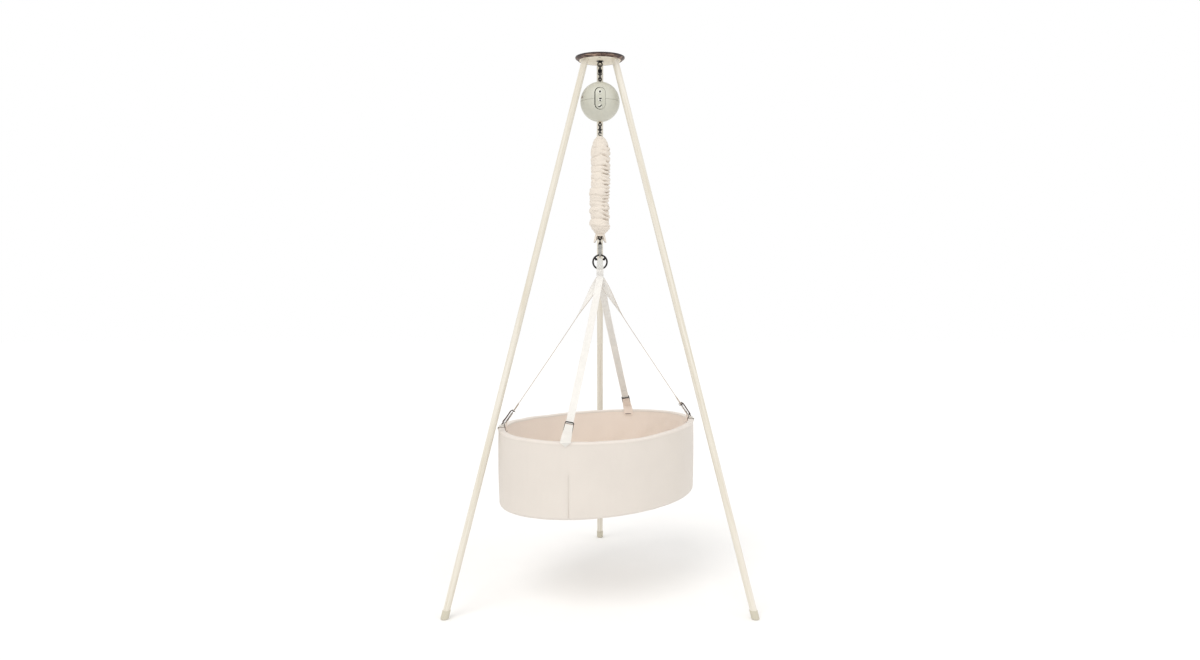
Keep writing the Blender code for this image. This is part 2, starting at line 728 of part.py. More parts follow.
def make_carabiner(name, top, low, width, wire_size, body):
    """An open loop of wire with a hinge fork for its gate, turned so that the gate is in front."""
    half = width / 2
    pin_height = low + half + wire_size * HOOK_PIN_RISE
    nose = top - half - wire_size * 0.9
    path = [Vector((half, 0.0, nose))]
    path += arc((0, 0, top - half), half, 0, 180, 8)
    path += arc((0, 0, low + half), half, 180, 360, 8)
    path.append(Vector((half, 0.0, pin_height - wire_size * 0.62)))
    hook = wire(name, path, wire_size)
    slot = wire_size * 0.84 / 2 + GAP
    fork_half = slot + HOOK_CHEEK
    fork = box(
        name + "_fork",
        (half - wire_size * 0.5, -fork_half, pin_height - wire_size * 0.85),
        (half + wire_size * 0.5, fork_half, pin_height + wire_size * 0.45),
    )
    cut = box(
        name + "_slot",
        (half - wire_size, -slot, pin_height - wire_size * 0.47),
        (half + wire_size, slot, pin_height + wire_size),
        True,
    )
    pin = cylinder(
        name + "_pin",
        HOOK_HINGE_PIN / 2,
        (half, -fork_half - 0.0004, pin_height),
        (half, fork_half + 0.0004, pin_height),
        12,
    )
    fuse(hook, fork)
    carve(hook, cut)
    fuse(hook, pin)
    return carry(gate_to_front(settle(hook)), body, DARK_STEEL)


def gate_to_front(obj):
    """Turns a piece that was built with its gate at the right, so that the gate is in front."""
    obj.data.transform(Matrix.Rotation(-math.pi / 2, 4, "Z"))
    return obj


def gate_pin(top, low, width, wire_size):
    """Where the gate's pin stands, once the carabiner has its gate in front."""
    return Vector((0.0, -width / 2, low + width / 2 + wire_size * HOOK_PIN_RISE))


def make_gate(name, top, low, width, wire_size, body):
    """The sprung bar that closes a carabiner, on its pin."""
    reach = width / 2
    height = gate_pin(top, low, width, wire_size).z
    tip = top - width / 2 - wire_size * 0.9 - GATE_TIP_GAP
    radius = wire_size * 0.84 / 2
    gate = cylinder(name, radius, (reach, 0, height), (reach, 0, tip))
    knuckle = cylinder(
        name + "_knuckle", wire_size * 0.42, (reach, -radius, height), (reach, radius, height)
    )
    grip = cylinder(
        name + "_grip",
        radius + wire_size * 0.22,
        (reach, 0, height + wire_size * 0.7),
        (reach, 0, tip - wire_size * 0.35),
    )
    bore = cylinder(
        name + "_bore",
        HOOK_HINGE_PIN / 2 + 0.0002,
        (reach, -radius * 2, height),
        (reach, radius * 2, height),
        cutter=True,
    )
    fuse(gate, knuckle, grip)
    carve(gate, bore)
    return carry(gate_to_front(settle(gate)), body, DARK_STEEL)


# Drive


def ball(name, radius, segments=COARSE, rings=24, cutter=False):
    work = bmesh.new()
    bmesh.ops.create_uvsphere(work, u_segments=segments, v_segments=rings, radius=radius)
    bmesh.ops.translate(work, vec=(0, 0, BALL_CENTRE_HEIGHT), verts=work.verts)
    return object_of(name, mesh_of(name, work, 60), cutter)


def pill_outline(width, length, segments=8):
    """A slot-shaped outline of (across, up) points."""
    radius = width / 2
    straight = length / 2 - radius
    points = []
    for sign, first in ((1, 0), (-1, 180)):
        for i in range(segments + 1):
            turn = math.radians(first + 180 * i / segments)
            points.append((radius * math.cos(turn), sign * straight + radius * math.sin(turn)))
    return points


def pill_prism(name, width, length, near, far, cutter=False):
    """The panel's outline, as a block that reaches from one depth to another in front."""
    place = {
        "across": Vector((1, 0, 0)),
        "up": Vector((0, 0, 1)),
        "origin": (0, -(near + far) / 2, BALL_CENTRE_HEIGHT + PANEL_RISE),
    }
    return prism(
        name, pill_outline(width, length), Vector((0, 1, 0)), (far - near) / 2, place, cutter
    )


def shell_profile(upper):
    """Half of the ball's wall. The lower half has a lip that stands inside the upper one."""
    inner = BALL_RADIUS - BALL_WALL
    centre = BALL_CENTRE_HEIGHT
    hole = (HANGER_SHANK if upper else ROD_DIAMETER + 2 * BUSH_WALL) / 2 + GAP
    sign = 1 if upper else -1
    steps = 7
    outside, inside = [], []
    seam = BALL_SEAM / 2
    start_out = math.asin(hole / BALL_RADIUS)
    start_in = math.asin(hole / inner)
    groove = BALL_RADIUS - BALL_SEAM_GROOVE
    for i in range(steps):
        turn = start_out + (math.radians(88.6) - start_out) * i / (steps - 1)
        outside.append((BALL_RADIUS * math.sin(turn), sign * BALL_RADIUS * math.cos(turn)))
    outside.append((groove, sign * seam))
    lip = BALL_LIP_WALL + GAP
    if upper:
        inside.append((inner + lip, sign * seam))
        inside.append((inner + lip, sign * (BALL_LIP_HEIGHT + GAP)))
    else:
        inside.append((inner + BALL_LIP_WALL, sign * seam))
        inside.append((inner + BALL_LIP_WALL, -sign * BALL_LIP_HEIGHT))
        inside.append((inner, -sign * BALL_LIP_HEIGHT))
    first = math.radians(85.0 if upper else 88.0)
    for i in range(steps - 2):
        turn = first + (start_in - first) * i / (steps - 3)
        inside.append((inner * math.sin(turn), sign * inner * math.cos(turn)))
    profile = [(r, centre + z) for r, z in outside + inside]
    return profile if upper else profile[::-1]


def socket_direction():
    turn = math.radians(SOCKET_HEADING)
    return Vector((math.cos(turn), math.sin(turn), 0.0))


def socket_points(length):
    """The power socket's outer and inner end. Its face lies just inside the ball's skin."""
    reach = math.sqrt(BALL_RADIUS**2 - SOCKET_RISE**2)
    face = reach - 0.0004
    centre = Vector((0, 0, BALL_CENTRE_HEIGHT + SOCKET_RISE))
    return centre + socket_direction() * face, centre + socket_direction() * (face - length)


def make_shell(name, upper, motor):
    shell = turned(name, shell_profile(upper), 24, closed=True)
    carve(shell, pill_prism(name + "_window", PANEL_WIDTH, PANEL_LENGTH, 0.030, 0.080, True))
    if upper:
        face, inner = socket_points(SOCKET_LENGTH)
        outer = face + socket_direction() * 0.004
        hole = cylinder(name + "_socket_hole", SOCKET_DIAMETER / 2 + GAP, outer, inner, cutter=True)
        carve(shell, hole)
    return carry(settle(shell), motor, SHELL_PLASTIC)


def make_panel(motor):
    """The curved control panel, with a hole for each button and two posts for the board."""
    panel = pill_prism("control_panel", PANEL_WIDTH - 2 * GAP, PANEL_LENGTH - 2 * GAP, 0.030, 0.080)
    outer = ball("panel_outer", BALL_RADIUS + PANEL_PROUD, cutter=True)
    inner = ball("panel_inner", BALL_RADIUS + PANEL_PROUD - PANEL_WALL, cutter=True)
    combine(panel, outer, "INTERSECT")
    carve(panel, inner)
    for name, rise in BUTTON_HEIGHTS.items():
        height = BALL_CENTRE_HEIGHT + rise
        hole = cylinder(
            name + "_hole",
            BUTTON_DIAMETER / 2 + GAP,
            (0, -0.040, height),
            (0, -0.080, height),
            cutter=True,
        )
        carve(panel, hole)
    for i, side in enumerate((-1, 1)):
        rise = side * BOARD_POST_SPREAD - 0.0015
        post = cylinder(
            f"panel_post_{i}",
            BOARD_POST_RADIUS,
            (0.0125, -BOARD_DEPTH - GAP, BALL_CENTRE_HEIGHT + rise),
            (0.0125, -BALL_RADIUS + 0.0035, BALL_CENTRE_HEIGHT + rise),
            10,
        )
        fuse(panel, post)
    return carry(settle(panel), motor, PANEL_PLASTIC)


def make_button(name, rise, body):
    """A round cap with a curved face. A flange behind the panel keeps it in."""
    height = BALL_CENTRE_HEIGHT + rise
    reach = math.sqrt(BALL_RADIUS**2 - rise**2)
    back = reach - PANEL_WALL - 0.0060
    cap = cylinder(
        name, BUTTON_DIAMETER / 2, (0, -back, height), (0, -BALL_RADIUS - 0.004, height)
    )
    face = ball(name + "_face", BALL_RADIUS + PANEL_PROUD + BUTTON_PROUD, cutter=True)
    combine(cap, face, "INTERSECT")
    stem = cylinder(
        name + "_stem",
        0.0025,
        (0, -BOARD_DEPTH - BOARD_THICKNESS - BUTTON_TRAVEL - GAP, height),
        (0, -back - 0.001, height),
        12,
    )
    fuse(cap, stem)
    return carry(settle(cap), body, BUTTON_PLASTIC)


def make_board(motor):
    board = box(
        "circuit_board",
        (-BOARD_WIDTH / 2, -BOARD_DEPTH, BALL_CENTRE_HEIGHT - BOARD_LENGTH / 2),
        (BOARD_WIDTH / 2 + 0.004, -BOARD_DEPTH + BOARD_THICKNESS, BALL_CENTRE_HEIGHT + BOARD_LENGTH / 2),
    )
    return carry(board, motor, BOARD_GREEN)


def make_socket(motor):
    face, inner = socket_points(SOCKET_LENGTH)
    barrel = cylinder("power_socket", SOCKET_DIAMETER / 2, face, inner)
    bore_end = inner + socket_direction() * 0.003
    outer = face + socket_direction() * 0.002
    bore = cylinder("socket_bore", SOCKET_BORE / 2, outer, bore_end, cutter=True)
    carve(barrel, bore)
    pin = cylinder("socket_pin", 0.0010, bore_end - socket_direction() * 0.001, face, 10)
    fuse(barrel, pin)
    return carry(settle(barrel), motor, BRASS)


def make_chassis(motor):
    """The frame that carries the load from the hanger to the guide of the rod."""
    centre = BALL_CENTRE_HEIGHT
    half = FRAME_HEIGHT / 2
    frame = box(
        "chassis",
        (-FRAME_WIDTH / 2, -FRAME_DEPTH / 2, centre - half),
        (FRAME_WIDTH / 2, FRAME_DEPTH / 2, centre + half),
    )
    window = box(
        "chassis_window",
        (-FRAME_WIDTH / 2 + FRAME_WALL, -FRAME_DEPTH, centre - half + FRAME_BAR),
        (FRAME_WIDTH / 2 - FRAME_WALL, FRAME_DEPTH, centre + half - FRAME_BAR),
        True,
    )
    hanger_hole = cylinder(
        "chassis_hanger_hole",
        HANGER_SHANK / 2 + GAP,
        (0, 0, centre),
        (0, 0, centre + 0.06),
        cutter=True,
    )
    bush_hole = cylinder(
        "chassis_bush_hole",
        ROD_DIAMETER / 2 + BUSH_WALL + GAP,
        (0, 0, centre),
        (0, 0, centre - 0.06),
        cutter=True,
    )
    rounded(frame, 0.0015, 2)
    carve(frame, window, hanger_hole, bush_hole)
    return carry(settle(frame), motor, INNER_PLASTIC)


def make_hanger(motor):
    """The eye on top of the ball, with its shank down to the frame."""
    eye = torus("hanger_eye", HANGER_EYE_RADIUS, HANGER_WIRE, (0, 0, HANGER_EYE_CENTRE), "Y")
    collar_low = BALL_CENTRE_HEIGHT + math.sqrt(BALL_RADIUS**2 - HANGER_COLLAR_RADIUS**2) + 0.0006
    collar = cylinder(
        "hanger_collar",
        HANGER_COLLAR_RADIUS,
        (0, 0, collar_low),
        (0, 0, HANGER_COLLAR_TOP + 0.0006),
        far_radius=HANGER_WIRE,
    )
    low = BALL_CENTRE_HEIGHT + FRAME_HEIGHT / 2 - FRAME_BAR - HANGER_NUT_HEIGHT - 2 * GAP
    shank = cylinder("hanger_shank", HANGER_SHANK / 2, (0, 0, low), (0, 0, collar_low + 0.001))
    fuse(eye, collar, shank)
    return carry(settle(eye), motor, DARK_STEEL)


def make_bush(motor):
    """The flanged bush that guides the rod through the frame and the ball's lower hole."""
    inner = ROD_DIAMETER / 2 + 0.00008
    outer = ROD_DIAMETER / 2 + BUSH_WALL
    seat = BALL_CENTRE_HEIGHT - FRAME_HEIGHT / 2 + FRAME_BAR + GAP
    low = BALL_CENTRE_HEIGHT - BALL_RADIUS - 0.0008
    profile = [
        (inner, seat + BUSH_FLANGE),
        (outer + 0.002, seat + BUSH_FLANGE),
        (outer + 0.002, seat),
        (outer, seat),
        (outer, low),
        (inner, low),
    ]
    bush = turned("guide_bush", profile, MEDIUM, closed=True)
    return carry(settle(bush), motor, BRASS)


def make_gear_motor(motor):
    """The gearbox against the frame's right wall, the motor behind it, and the output shaft."""
    centre = BALL_CENTRE_HEIGHT
    right = FRAME_WIDTH / 2 - FRAME_WALL - GAP
    left = PINION_OFFSET - MOTOR_CAN_DIAMETER / 2 - 0.002
    gearbox = box(
        "gear_motor",
        (left, GEARBOX_START, centre - GEARBOX_HEIGHT / 2),
        (right, GEARBOX_START + GEARBOX_DEPTH, centre + GEARBOX_HEIGHT / 2),
    )
    rounded(gearbox, 0.0012, 2)
    end = GEARBOX_START + GEARBOX_DEPTH
    can = cylinder(
        "motor_can",
        MOTOR_CAN_DIAMETER / 2,
        (PINION_OFFSET, end - 0.001, centre),
        (PINION_OFFSET, end + MOTOR_CAN_LENGTH, centre),
    )
    boss = cylinder(
        "motor_boss",
        0.0035,
        (PINION_OFFSET, end + MOTOR_CAN_LENGTH - 0.001, centre),
        (PINION_OFFSET, end + MOTOR_CAN_LENGTH + 0.002, centre),
    )
    shaft = cylinder(
        "motor_shaft",
        PINION_SHAFT / 2,
        (PINION_OFFSET, GEARBOX_START + 0.001, centre),
        (PINION_OFFSET, -PINION_WIDTH / 2 - 0.001, centre),
    )
    fuse(gearbox, can, boss, shaft)
    return carry(settle(gearbox), motor, BRIGHT_STEEL)


def involute(base_radius, radius):
    """The angle that an involute has turned through when it reaches a radius."""
    reach = math.sqrt(max((radius / base_radius) ** 2 - 1.0, 0.0))
    return reach - math.atan(reach)


def pinion_outline():
    """Involute teeth about the pinion's centre. A gap between two teeth faces the rack's tooth."""
    pitch_radius = GEAR_MODULE * PINION_TEETH / 2
    base_radius = pitch_radius * math.cos(PRESSURE_ANGLE)
    tip = pitch_radius + TOOTH_ADDENDUM * GEAR_MODULE
    root = pitch_radius - TOOTH_DEDENDUM * GEAR_MODULE
    half_tooth = math.pi / (2 * PINION_TEETH) - TOOTH_BACKLASH / (2 * pitch_radius)
    at_pitch = involute(base_radius, pitch_radius)
    points = []
    flank = 2
    for tooth in range(PINION_TEETH):
        middle = math.pi + (tooth + 0.5) * 2 * math.pi / PINION_TEETH
        rising, falling = [], []
        for i in range(flank):
            start = max(base_radius, root)
            radius = start + (tip - start) * i / (flank - 1)
            half = half_tooth + at_pitch - involute(base_radius, radius)
            rising.append((radius, middle - half))
            falling.append((radius, middle + half))
        foot = half_tooth + at_pitch
        points.append((root, middle - foot))
        points += rising
        points += falling[::-1]
        points.append((root, middle + foot))
    return [(r * math.cos(a), r * math.sin(a)) for r, a in points]


def make_pinion(body):
    place = {
        "across": Vector((1, 0, 0)),
        "up": Vector((0, 0, 1)),
        "origin": (PINION_OFFSET, 0.0, BALL_CENTRE_HEIGHT),
    }
    pinion = prism("drive_pinion", pinion_outline(), Vector((0, 1, 0)), PINION_WIDTH / 2, place)
    bore = cylinder(
        "pinion_bore",
        PINION_SHAFT / 2 + 0.0002,
        (PINION_OFFSET, -0.02, BALL_CENTRE_HEIGHT),
        (PINION_OFFSET, 0.02, BALL_CENTRE_HEIGHT),
        16,
        True,
    )
    carve(pinion, bore)
    return carry(settle(pinion), body, BRASS)


def rack_outline(low, high):
    """Straight-sided teeth that face +X. One tooth stands at the pinion's height."""
    pitch = math.pi * GEAR_MODULE
    tip = RACK_PITCH_LINE + TOOTH_ADDENDUM * GEAR_MODULE
    root = RACK_PITCH_LINE - TOOTH_DEDENDUM * GEAR_MODULE
    slope = math.tan(PRESSURE_ANGLE)
    half = pitch / 4 - TOOTH_BACKLASH / 4
    first = math.ceil((low - BALL_CENTRE_HEIGHT + pitch / 2) / pitch)
    last = math.floor((high - BALL_CENTRE_HEIGHT - pitch / 2) / pitch)
    points = [(0.0, low), (root, low)]
    for tooth in range(first, last + 1):
        middle = BALL_CENTRE_HEIGHT + tooth * pitch
        at_root = half + (RACK_PITCH_LINE - root) * slope
        at_tip = half - (tip - RACK_PITCH_LINE) * slope
        points += [
            (root, middle - at_root),
            (tip, middle - at_tip),
            (tip, middle + at_tip),
            (root, middle + at_root),
        ]
    return points + [(root, high), (0.0, high)]


def make_rod(body):
    """The rod that bounces the spring: rack above, eye below. It stands at the top of its
    travel, and its collar meets the bush at the bottom."""
    seat = BALL_CENTRE_HEIGHT - FRAME_HEIGHT / 2 + FRAME_BAR + 2 * GAP + BUSH_FLANGE
    collar_low = seat + ROD_TRAVEL
    rack_low = BALL_CENTRE_HEIGHT - RACK_OVERRUN
    rack_high = BALL_CENTRE_HEIGHT + ROD_TRAVEL + RACK_OVERRUN
    eye_top = ROD_EYE_HEIGHT + HANGER_EYE_RADIUS
    rod = cylinder("pull_rod", ROD_DIAMETER / 2, (0, 0, eye_top), (0, 0, rack_high), MEDIUM)
    relief = box(
        "rod_relief", (0.0, -ROD_DIAMETER, rack_low), (ROD_DIAMETER, ROD_DIAMETER, rack_high + 0.001), True
    )
    place = {"across": Vector((1, 0, 0)), "up": Vector((0, 0, 1)), "origin": (0, 0, 0)}
    rack = prism("rack", rack_outline(rack_low - 0.0002, rack_high), Vector((0, 1, 0)), 0.0032, place)
    for vert in rack.data.vertices:
        if vert.co.x < 0.0001:
            vert.co.x = -0.001
    collar = cylinder("rod_collar", ROD_COLLAR_RADIUS, (0, 0, collar_low), (0, 0, collar_low + ROD_COLLAR_HEIGHT))
    eye = torus("rod_eye", HANGER_EYE_RADIUS, HANGER_WIRE, (0, 0, ROD_EYE_HEIGHT), "Y")
    neck = cylinder(
        "rod_neck",
        HANGER_WIRE,
        (0, 0, eye_top - 0.0004),
        (0, 0, eye_top + 0.003),
        16,
        far_radius=ROD_DIAMETER / 2 - 0.0002,
    )
    carve(rod, relief)
    fuse(rod, rack, collar, neck, eye)
    return carry(settle(rod), body, DARK_STEEL)


# Spring and sleeve


def spring_path():
    """Hook, widening cone, coils, narrowing cone, hook, as one unbroken line."""
    path = arc((0, 0, SPRING_TOP + SPRING_HOOK_RADIUS), SPRING_HOOK_RADIUS, 0, 270, 12)
    start, end = SPRING_TOP - 0.0012, SPRING_LOW + 0.0012
    coil_top, coil_low = start - SPRING_CONE_HEIGHT, end + SPRING_CONE_HEIGHT
    coils = round((coil_top - coil_low) / SPRING_PITCH)
    turns = coils + 2 * SPRING_CONE_TURNS
    count = round(turns * SPRING_POINTS)
    narrow = 0.0040
    for i in range(count + 1):
        turn = turns * i / count
        left = min(turn, turns - turn)
        share = min(left / SPRING_CONE_TURNS, 1.0)
        radius = narrow + (SPRING_RADIUS - narrow) * share
        if turn < SPRING_CONE_TURNS:
            height = start - SPRING_CONE_HEIGHT * share
        elif turns - turn < SPRING_CONE_TURNS:
            height = end + SPRING_CONE_HEIGHT * share
        else:
            height = coil_top - (turn - SPRING_CONE_TURNS) * (coil_top - coil_low) / coils
        angle = SPRING_FIRST_HEADING - 2 * math.pi * turn
        path.append(Vector((radius * math.cos(angle), radius * math.sin(angle), height)))
    path += arc((0, 0, SPRING_LOW - SPRING_HOOK_RADIUS), SPRING_HOOK_RADIUS, 90, 360, 12, "YZ")
    return path


def least_gap(path, diameter):
    """The least clearance of a wire to itself, from its points, leaving out near neighbours."""
    reach = diameter * 2.0
    along = [0.0]
    for a, b in zip(path, path[1:]):
        along.append(along[-1] + (b - a).length)
    best = 1.0
    for i, a in enumerate(path):
        for j in range(i + 1, min(i + 40, len(path))):
            if along[j] - along[i] > reach:
                best = min(best, (path[j] - a).length - diameter)
    return best


def make_spring(body):
    path = spring_path()
    print(f"spring: least gap to itself {least_gap(path, SPRING_WIRE) * 1000:.2f} mm")
    return carry(wire("spring", path, SPRING_WIRE, sides=1), body, BRIGHT_STEEL)


def sleeve_rings():
    """(height, outer radius, fold strength, frill strength) from the top shoulder to the frill."""
    top = SPRING_TOP - 0.0125
    low = SPRING_LOW + 0.0165
    rings = [
        (top, SLEEVE_RADIUS * SLEEVE_TOP_SHARE, 0.0, 0.0),
        (top - 0.0030, SLEEVE_RADIUS * 0.78, 0.0, 0.0),
        (top - 0.0080, SLEEVE_RADIUS * 0.93, 0.3, 0.0),
    ]
    body_top, body_low = top - 0.0150, low + 0.0080
    count = 2 * SLEEVE_FOLD_COUNT + 2
    for i in range(count + 1):
        rings.append((body_top + (body_low - body_top) * i / count, SLEEVE_RADIUS, 1.0, 0.0))
    rings += [
        (low, SLEEVE_RADIUS * 0.86, 0.4, 0.0),
        (low - 0.0110, SLEEVE_RADIUS * 0.60, 0.0, 0.0),
        (low - 0.0190, SLEEVE_RADIUS * 0.40, 0.0, 0.2),
        (low - 0.0300, SLEEVE_FRILL_RADIUS * 0.88, 0.0, 0.8),
        (low - 0.0440, SLEEVE_FRILL_RADIUS, 0.0, 1.0),
    ]
    return rings


def sleeve_inside():
    """(height, radius) of the sleeve's inside, clear of the spring, its cones and its hook."""
    narrow = SPRING_HOOK_RADIUS + SPRING_WIRE / 2 + 0.0012
    wide = (SPRING_RADIUS + SPRING_WIRE / 2 + GAP) / math.cos(math.pi / SLEEVE_SIDES)
    cone_low = SPRING_LOW + SPRING_CONE_HEIGHT + 0.0012
    top, low = sleeve_rings()[0][0], sleeve_rings()[-1][0]
    neck = SPRING_LOW - SPRING_HOOK_RADIUS
    return [
        (top, SLEEVE_RADIUS * SLEEVE_TOP_SHARE - 0.0016),
        (top - 0.0050, wide),
        ((top + cone_low) / 2, wide),
        (cone_low, wide),
        (SPRING_LOW - 0.0005, narrow),
        (neck, narrow),
        (neck - 0.0120, SLEEVE_FRILL_RADIUS - SLEEVE_FRILL_WAVE - 0.0040),
        (low, SLEEVE_FRILL_RADIUS - SLEEVE_FRILL_WAVE - 0.0016),
    ]


def make_sleeve(body, around=SLEEVE_SIDES):
    """A gathered cloth tube: folds run round it at a slant, and its lower hem flares."""
    work = bmesh.new()
    rings = sleeve_rings()
    top, low = rings[0][0], rings[-1][0]
    outer, inner = [], []
    for height, radius, fold, frill in rings:
        ring = []
        for k in range(around):
            angle = 2 * math.pi * k / around
            wave = math.sin(math.pi * SLEEVE_FOLD_COUNT * 2 * (top - height) / (top - low) * 1.07
                            + 1.3 * math.sin(angle) + 0.8 * math.sin(2 * angle + height * 40.0))
            flare = math.sin(SLEEVE_FRILL_WAVES * angle)
            r = radius + fold * SLEEVE_FOLD * wave + frill * SLEEVE_FRILL_WAVE * flare
            ring.append(work.verts.new((r * math.cos(angle), r * math.sin(angle), height)))
        outer.append(ring)
    for height, r in sleeve_inside():
        angles = [2 * math.pi * k / around for k in range(around)]
        inner.append([work.verts.new((r * math.cos(a), r * math.sin(a), height)) for a in angles])
    loops = outer + inner[::-1]
    for first, second in zip(loops, loops[1:] + loops[:1]):
        for k in range(around):
            m = (k + 1) % around
            work.faces.new((first[k], second[k], second[m], first[m]))
    bmesh.ops.recalc_face_normals(work, faces=work.faces)
    return carry(object_of("spring_sleeve", mesh_of("spring_sleeve", work, 60)), body, SLEEVE_CLOTH)


# Swivel snap and ring


def make_link(body):
    """The oval link under the spring, which faces the front."""
    half = LINK_WIDTH / 2
    path = arc((0, 0, LINK_TOP_HEIGHT - half), half, 0, 180, 8)
    path += arc((0, 0, LINK_LOW_HEIGHT + half), half, 180, 360, 8)
    return carry(wire("oval_link", path, LINK_WIRE, cyclic=True), body, DARK_STEEL)


def make_swivel_eye(body):
    """The eye, skirt, stem and stem head that the snap turns on."""
    eye_centre = SWIVEL_EYE_LOW + SWIVEL_EYE_RADIUS
    eye = torus("swivel_eye", SWIVEL_EYE_RADIUS, SWIVEL_EYE_WIRE, (0, 0, eye_centre), "X")
    top = SWIVEL_EYE_LOW + 0.0004
    skirt_low = BARREL_TOP + GAP
    head_top = BARREL_TOP - 0.0045
    head_low = head_top - SWIVEL_STEM_HEAD_HEIGHT
    profile = [
        (0.0, top),
        (SWIVEL_EYE_WIRE * 0.6, top),
        (SWIVEL_STEM * 0.62, top - SWIVEL_SKIRT_HEIGHT * 0.35),
        (SWIVEL_SKIRT_RADIUS, skirt_low + 0.0030),
        (SWIVEL_SKIRT_RADIUS, skirt_low),
        (SWIVEL_STEM / 2, skirt_low),
        (SWIVEL_STEM / 2, head_top),
        (SWIVEL_STEM_HEAD / 2, head_top),
        (SWIVEL_STEM_HEAD / 2, head_low),
        (0.0, head_low),
    ]
    stem = turned("swivel_stem", profile, FINE)
    fuse(eye, stem)
    return carry(settle(eye), body, DARK_STEEL)


def snap_gate_pin():
    return Vector((0.0, -SNAP_RADIUS, BARREL_LOW - 0.0018))


def make_snap(body):
    """The snap hook: barrel round the stem, wide back plate, round hook and nose."""
    top, low = BARREL_TOP, BARREL_LOW
    outer = SWIVEL_BARREL_RADIUS
    pocket = SWIVEL_STEM_HEAD / 2 + GAP
    bore = SWIVEL_STEM / 2 + GAP
    pocket_top = top - 0.0045 + GAP
    profile = [
        (bore, top),
        (outer - 0.0008, top),
        (outer, top - 0.0008),
        (outer, low),
        (pocket, low),
        (pocket, pocket_top),
        (bore, pocket_top),
    ]
    barrel = turned("snap_hook", profile, MEDIUM, closed=True)
    centre = SNAP_LOW + SNAP_RADIUS
    back = box(
        "snap_back",
        (-SNAP_PLATE_WIDTH / 2, SNAP_RADIUS - SNAP_WIRE * 0.38, centre - 0.0005),
        (SNAP_PLATE_WIDTH / 2, SNAP_RADIUS + SNAP_WIRE * 0.38, low + 0.0030),
    )
    rounded(back, 0.0010, 1)
    path = [Vector((0, SNAP_RADIUS, centre + 0.006))]
    path += arc((0, 0, centre), SNAP_RADIUS, 0, -180, 12, "YZ")
    path.append(Vector((0, -SNAP_RADIUS, centre + SNAP_NOSE_RISE)))
    hook = wire("snap_bow", path, SNAP_WIRE)
    pin_place = snap_gate_pin()
    ears = box(
        "snap_ears",
        (-SNAP_PLATE_WIDTH / 2 - 0.0015, pin_place.y - 0.0022, pin_place.z - 0.0022),
        (SNAP_PLATE_WIDTH / 2 + 0.0015, pin_place.y + 0.0026, low + 0.0022),
    )
    slot = box(
        "snap_slot",
        (-SNAP_PLATE_WIDTH / 2 - GAP, pin_place.y - 0.0050, pin_place.z - 0.0050),
        (SNAP_PLATE_WIDTH / 2 + GAP, pin_place.y + 0.0050, pin_place.z + 0.0020),
        True,
    )
    pin = cylinder(
        "snap_pin",
        HOOK_HINGE_PIN / 2,
        (-SNAP_PLATE_WIDTH / 2 - 0.0018, pin_place.y, pin_place.z),
        (SNAP_PLATE_WIDTH / 2 + 0.0018, pin_place.y, pin_place.z),
        12,
    )
    bore_cut = cylinder("snap_bore", pocket + 0.0001, (0, 0, low + 0.0036), (0, 0, low - 0.004), MEDIUM, True)
    fuse(barrel, back, hook, ears)
    carve(barrel, slot, bore_cut)
    fuse(barrel, pin)
    return carry(settle(barrel), body, BRIGHT_STEEL)


def make_snap_gate(body):
    """The wide lever that closes the snap from the front."""
    place = snap_gate_pin()
    tip = SNAP_LOW + SNAP_RADIUS + SNAP_NOSE_RISE + GATE_TIP_GAP
    half = SNAP_PLATE_WIDTH / 2
    gate = box(
        "snap_gate",
        (-half, place.y - SNAP_GATE_THICKNESS / 2, tip),
        (half, place.y + SNAP_GATE_THICKNESS / 2, place.z),
    )
    knuckle = cylinder(
        "snap_knuckle", 0.0017, (-half, place.y, place.z), (half, place.y, place.z), 16
    )
    bore = cylinder(
        "snap_gate_bore",
        HOOK_HINGE_PIN / 2 + 0.0002,
        (-half - 0.001, place.y, place.z),
        (half + 0.001, place.y, place.z),
        12,
        True,
    )
    fuse(gate, knuckle)
    carve(gate, bore)
    return carry(settle(gate), body, BRIGHT_STEEL)


def make_ring(body):
    ring = torus("cradle_ring", RING_RADIUS, RING_WIRE, (0, 0, RING_HEIGHT), "Y", 28, 8)
    return carry(ring, body, DARK_STEEL)


# Basket


def basket_point(angle, inset, height):
    """A point on the basket's outline, drawn in by an inset, at a height."""
    u = (BASKET_A - inset) * math.cos(angle)
    v = (BASKET_B - inset) * math.sin(angle)
    c, s = math.cos(BASKET_HEADING), math.sin(BASKET_HEADING)
    return Vector((u * c - v * s, u * s + v * c, height))


def oval_loft(name, profile, closed, segments=BASKET_SEGMENTS, shape=None):
    """Ovals of (inset, height) joined in order: a wall when closed, otherwise a capped pad.

    An oval with a wall of even thickness is neither a turned nor a scaled shape, so it is
    lofted here.
    """
    work = bmesh.new()
    loops = []
    for inset, height in profile:
        ring = []
        for k in range(segments):
            angle = 2 * math.pi * k / segments
            point = basket_point(angle, inset, height)
            if shape:
                point.z += shape(point, inset)
            ring.append(work.verts.new(point))
        loops.append(ring)
    pairs = list(zip(loops, loops[1:]))
    if closed:
        pairs.append((loops[-1], loops[0]))
    for first, second in pairs:
        for k in range(segments):
            m = (k + 1) % segments
            work.faces.new((first[k], first[m], second[m], second[k]))
    if not closed:
        work.faces.new(loops[0])
        work.faces.new(loops[-1])
    bmesh.ops.recalc_face_normals(work, faces=work.faces)
    return object_of(name, mesh_of(name, work, 40))


def hem_points(inset, depth, corner, bottom):
    """A quarter round from a wall's outside to its bottom edge."""
    return [
        (inset + corner * (1 - math.cos(t)), bottom + corner * (1 - math.sin(t)))
        for t in (math.radians(a) for a in (0, 45, 90))
        if corner * (1 - math.cos(t)) <= depth
    ]


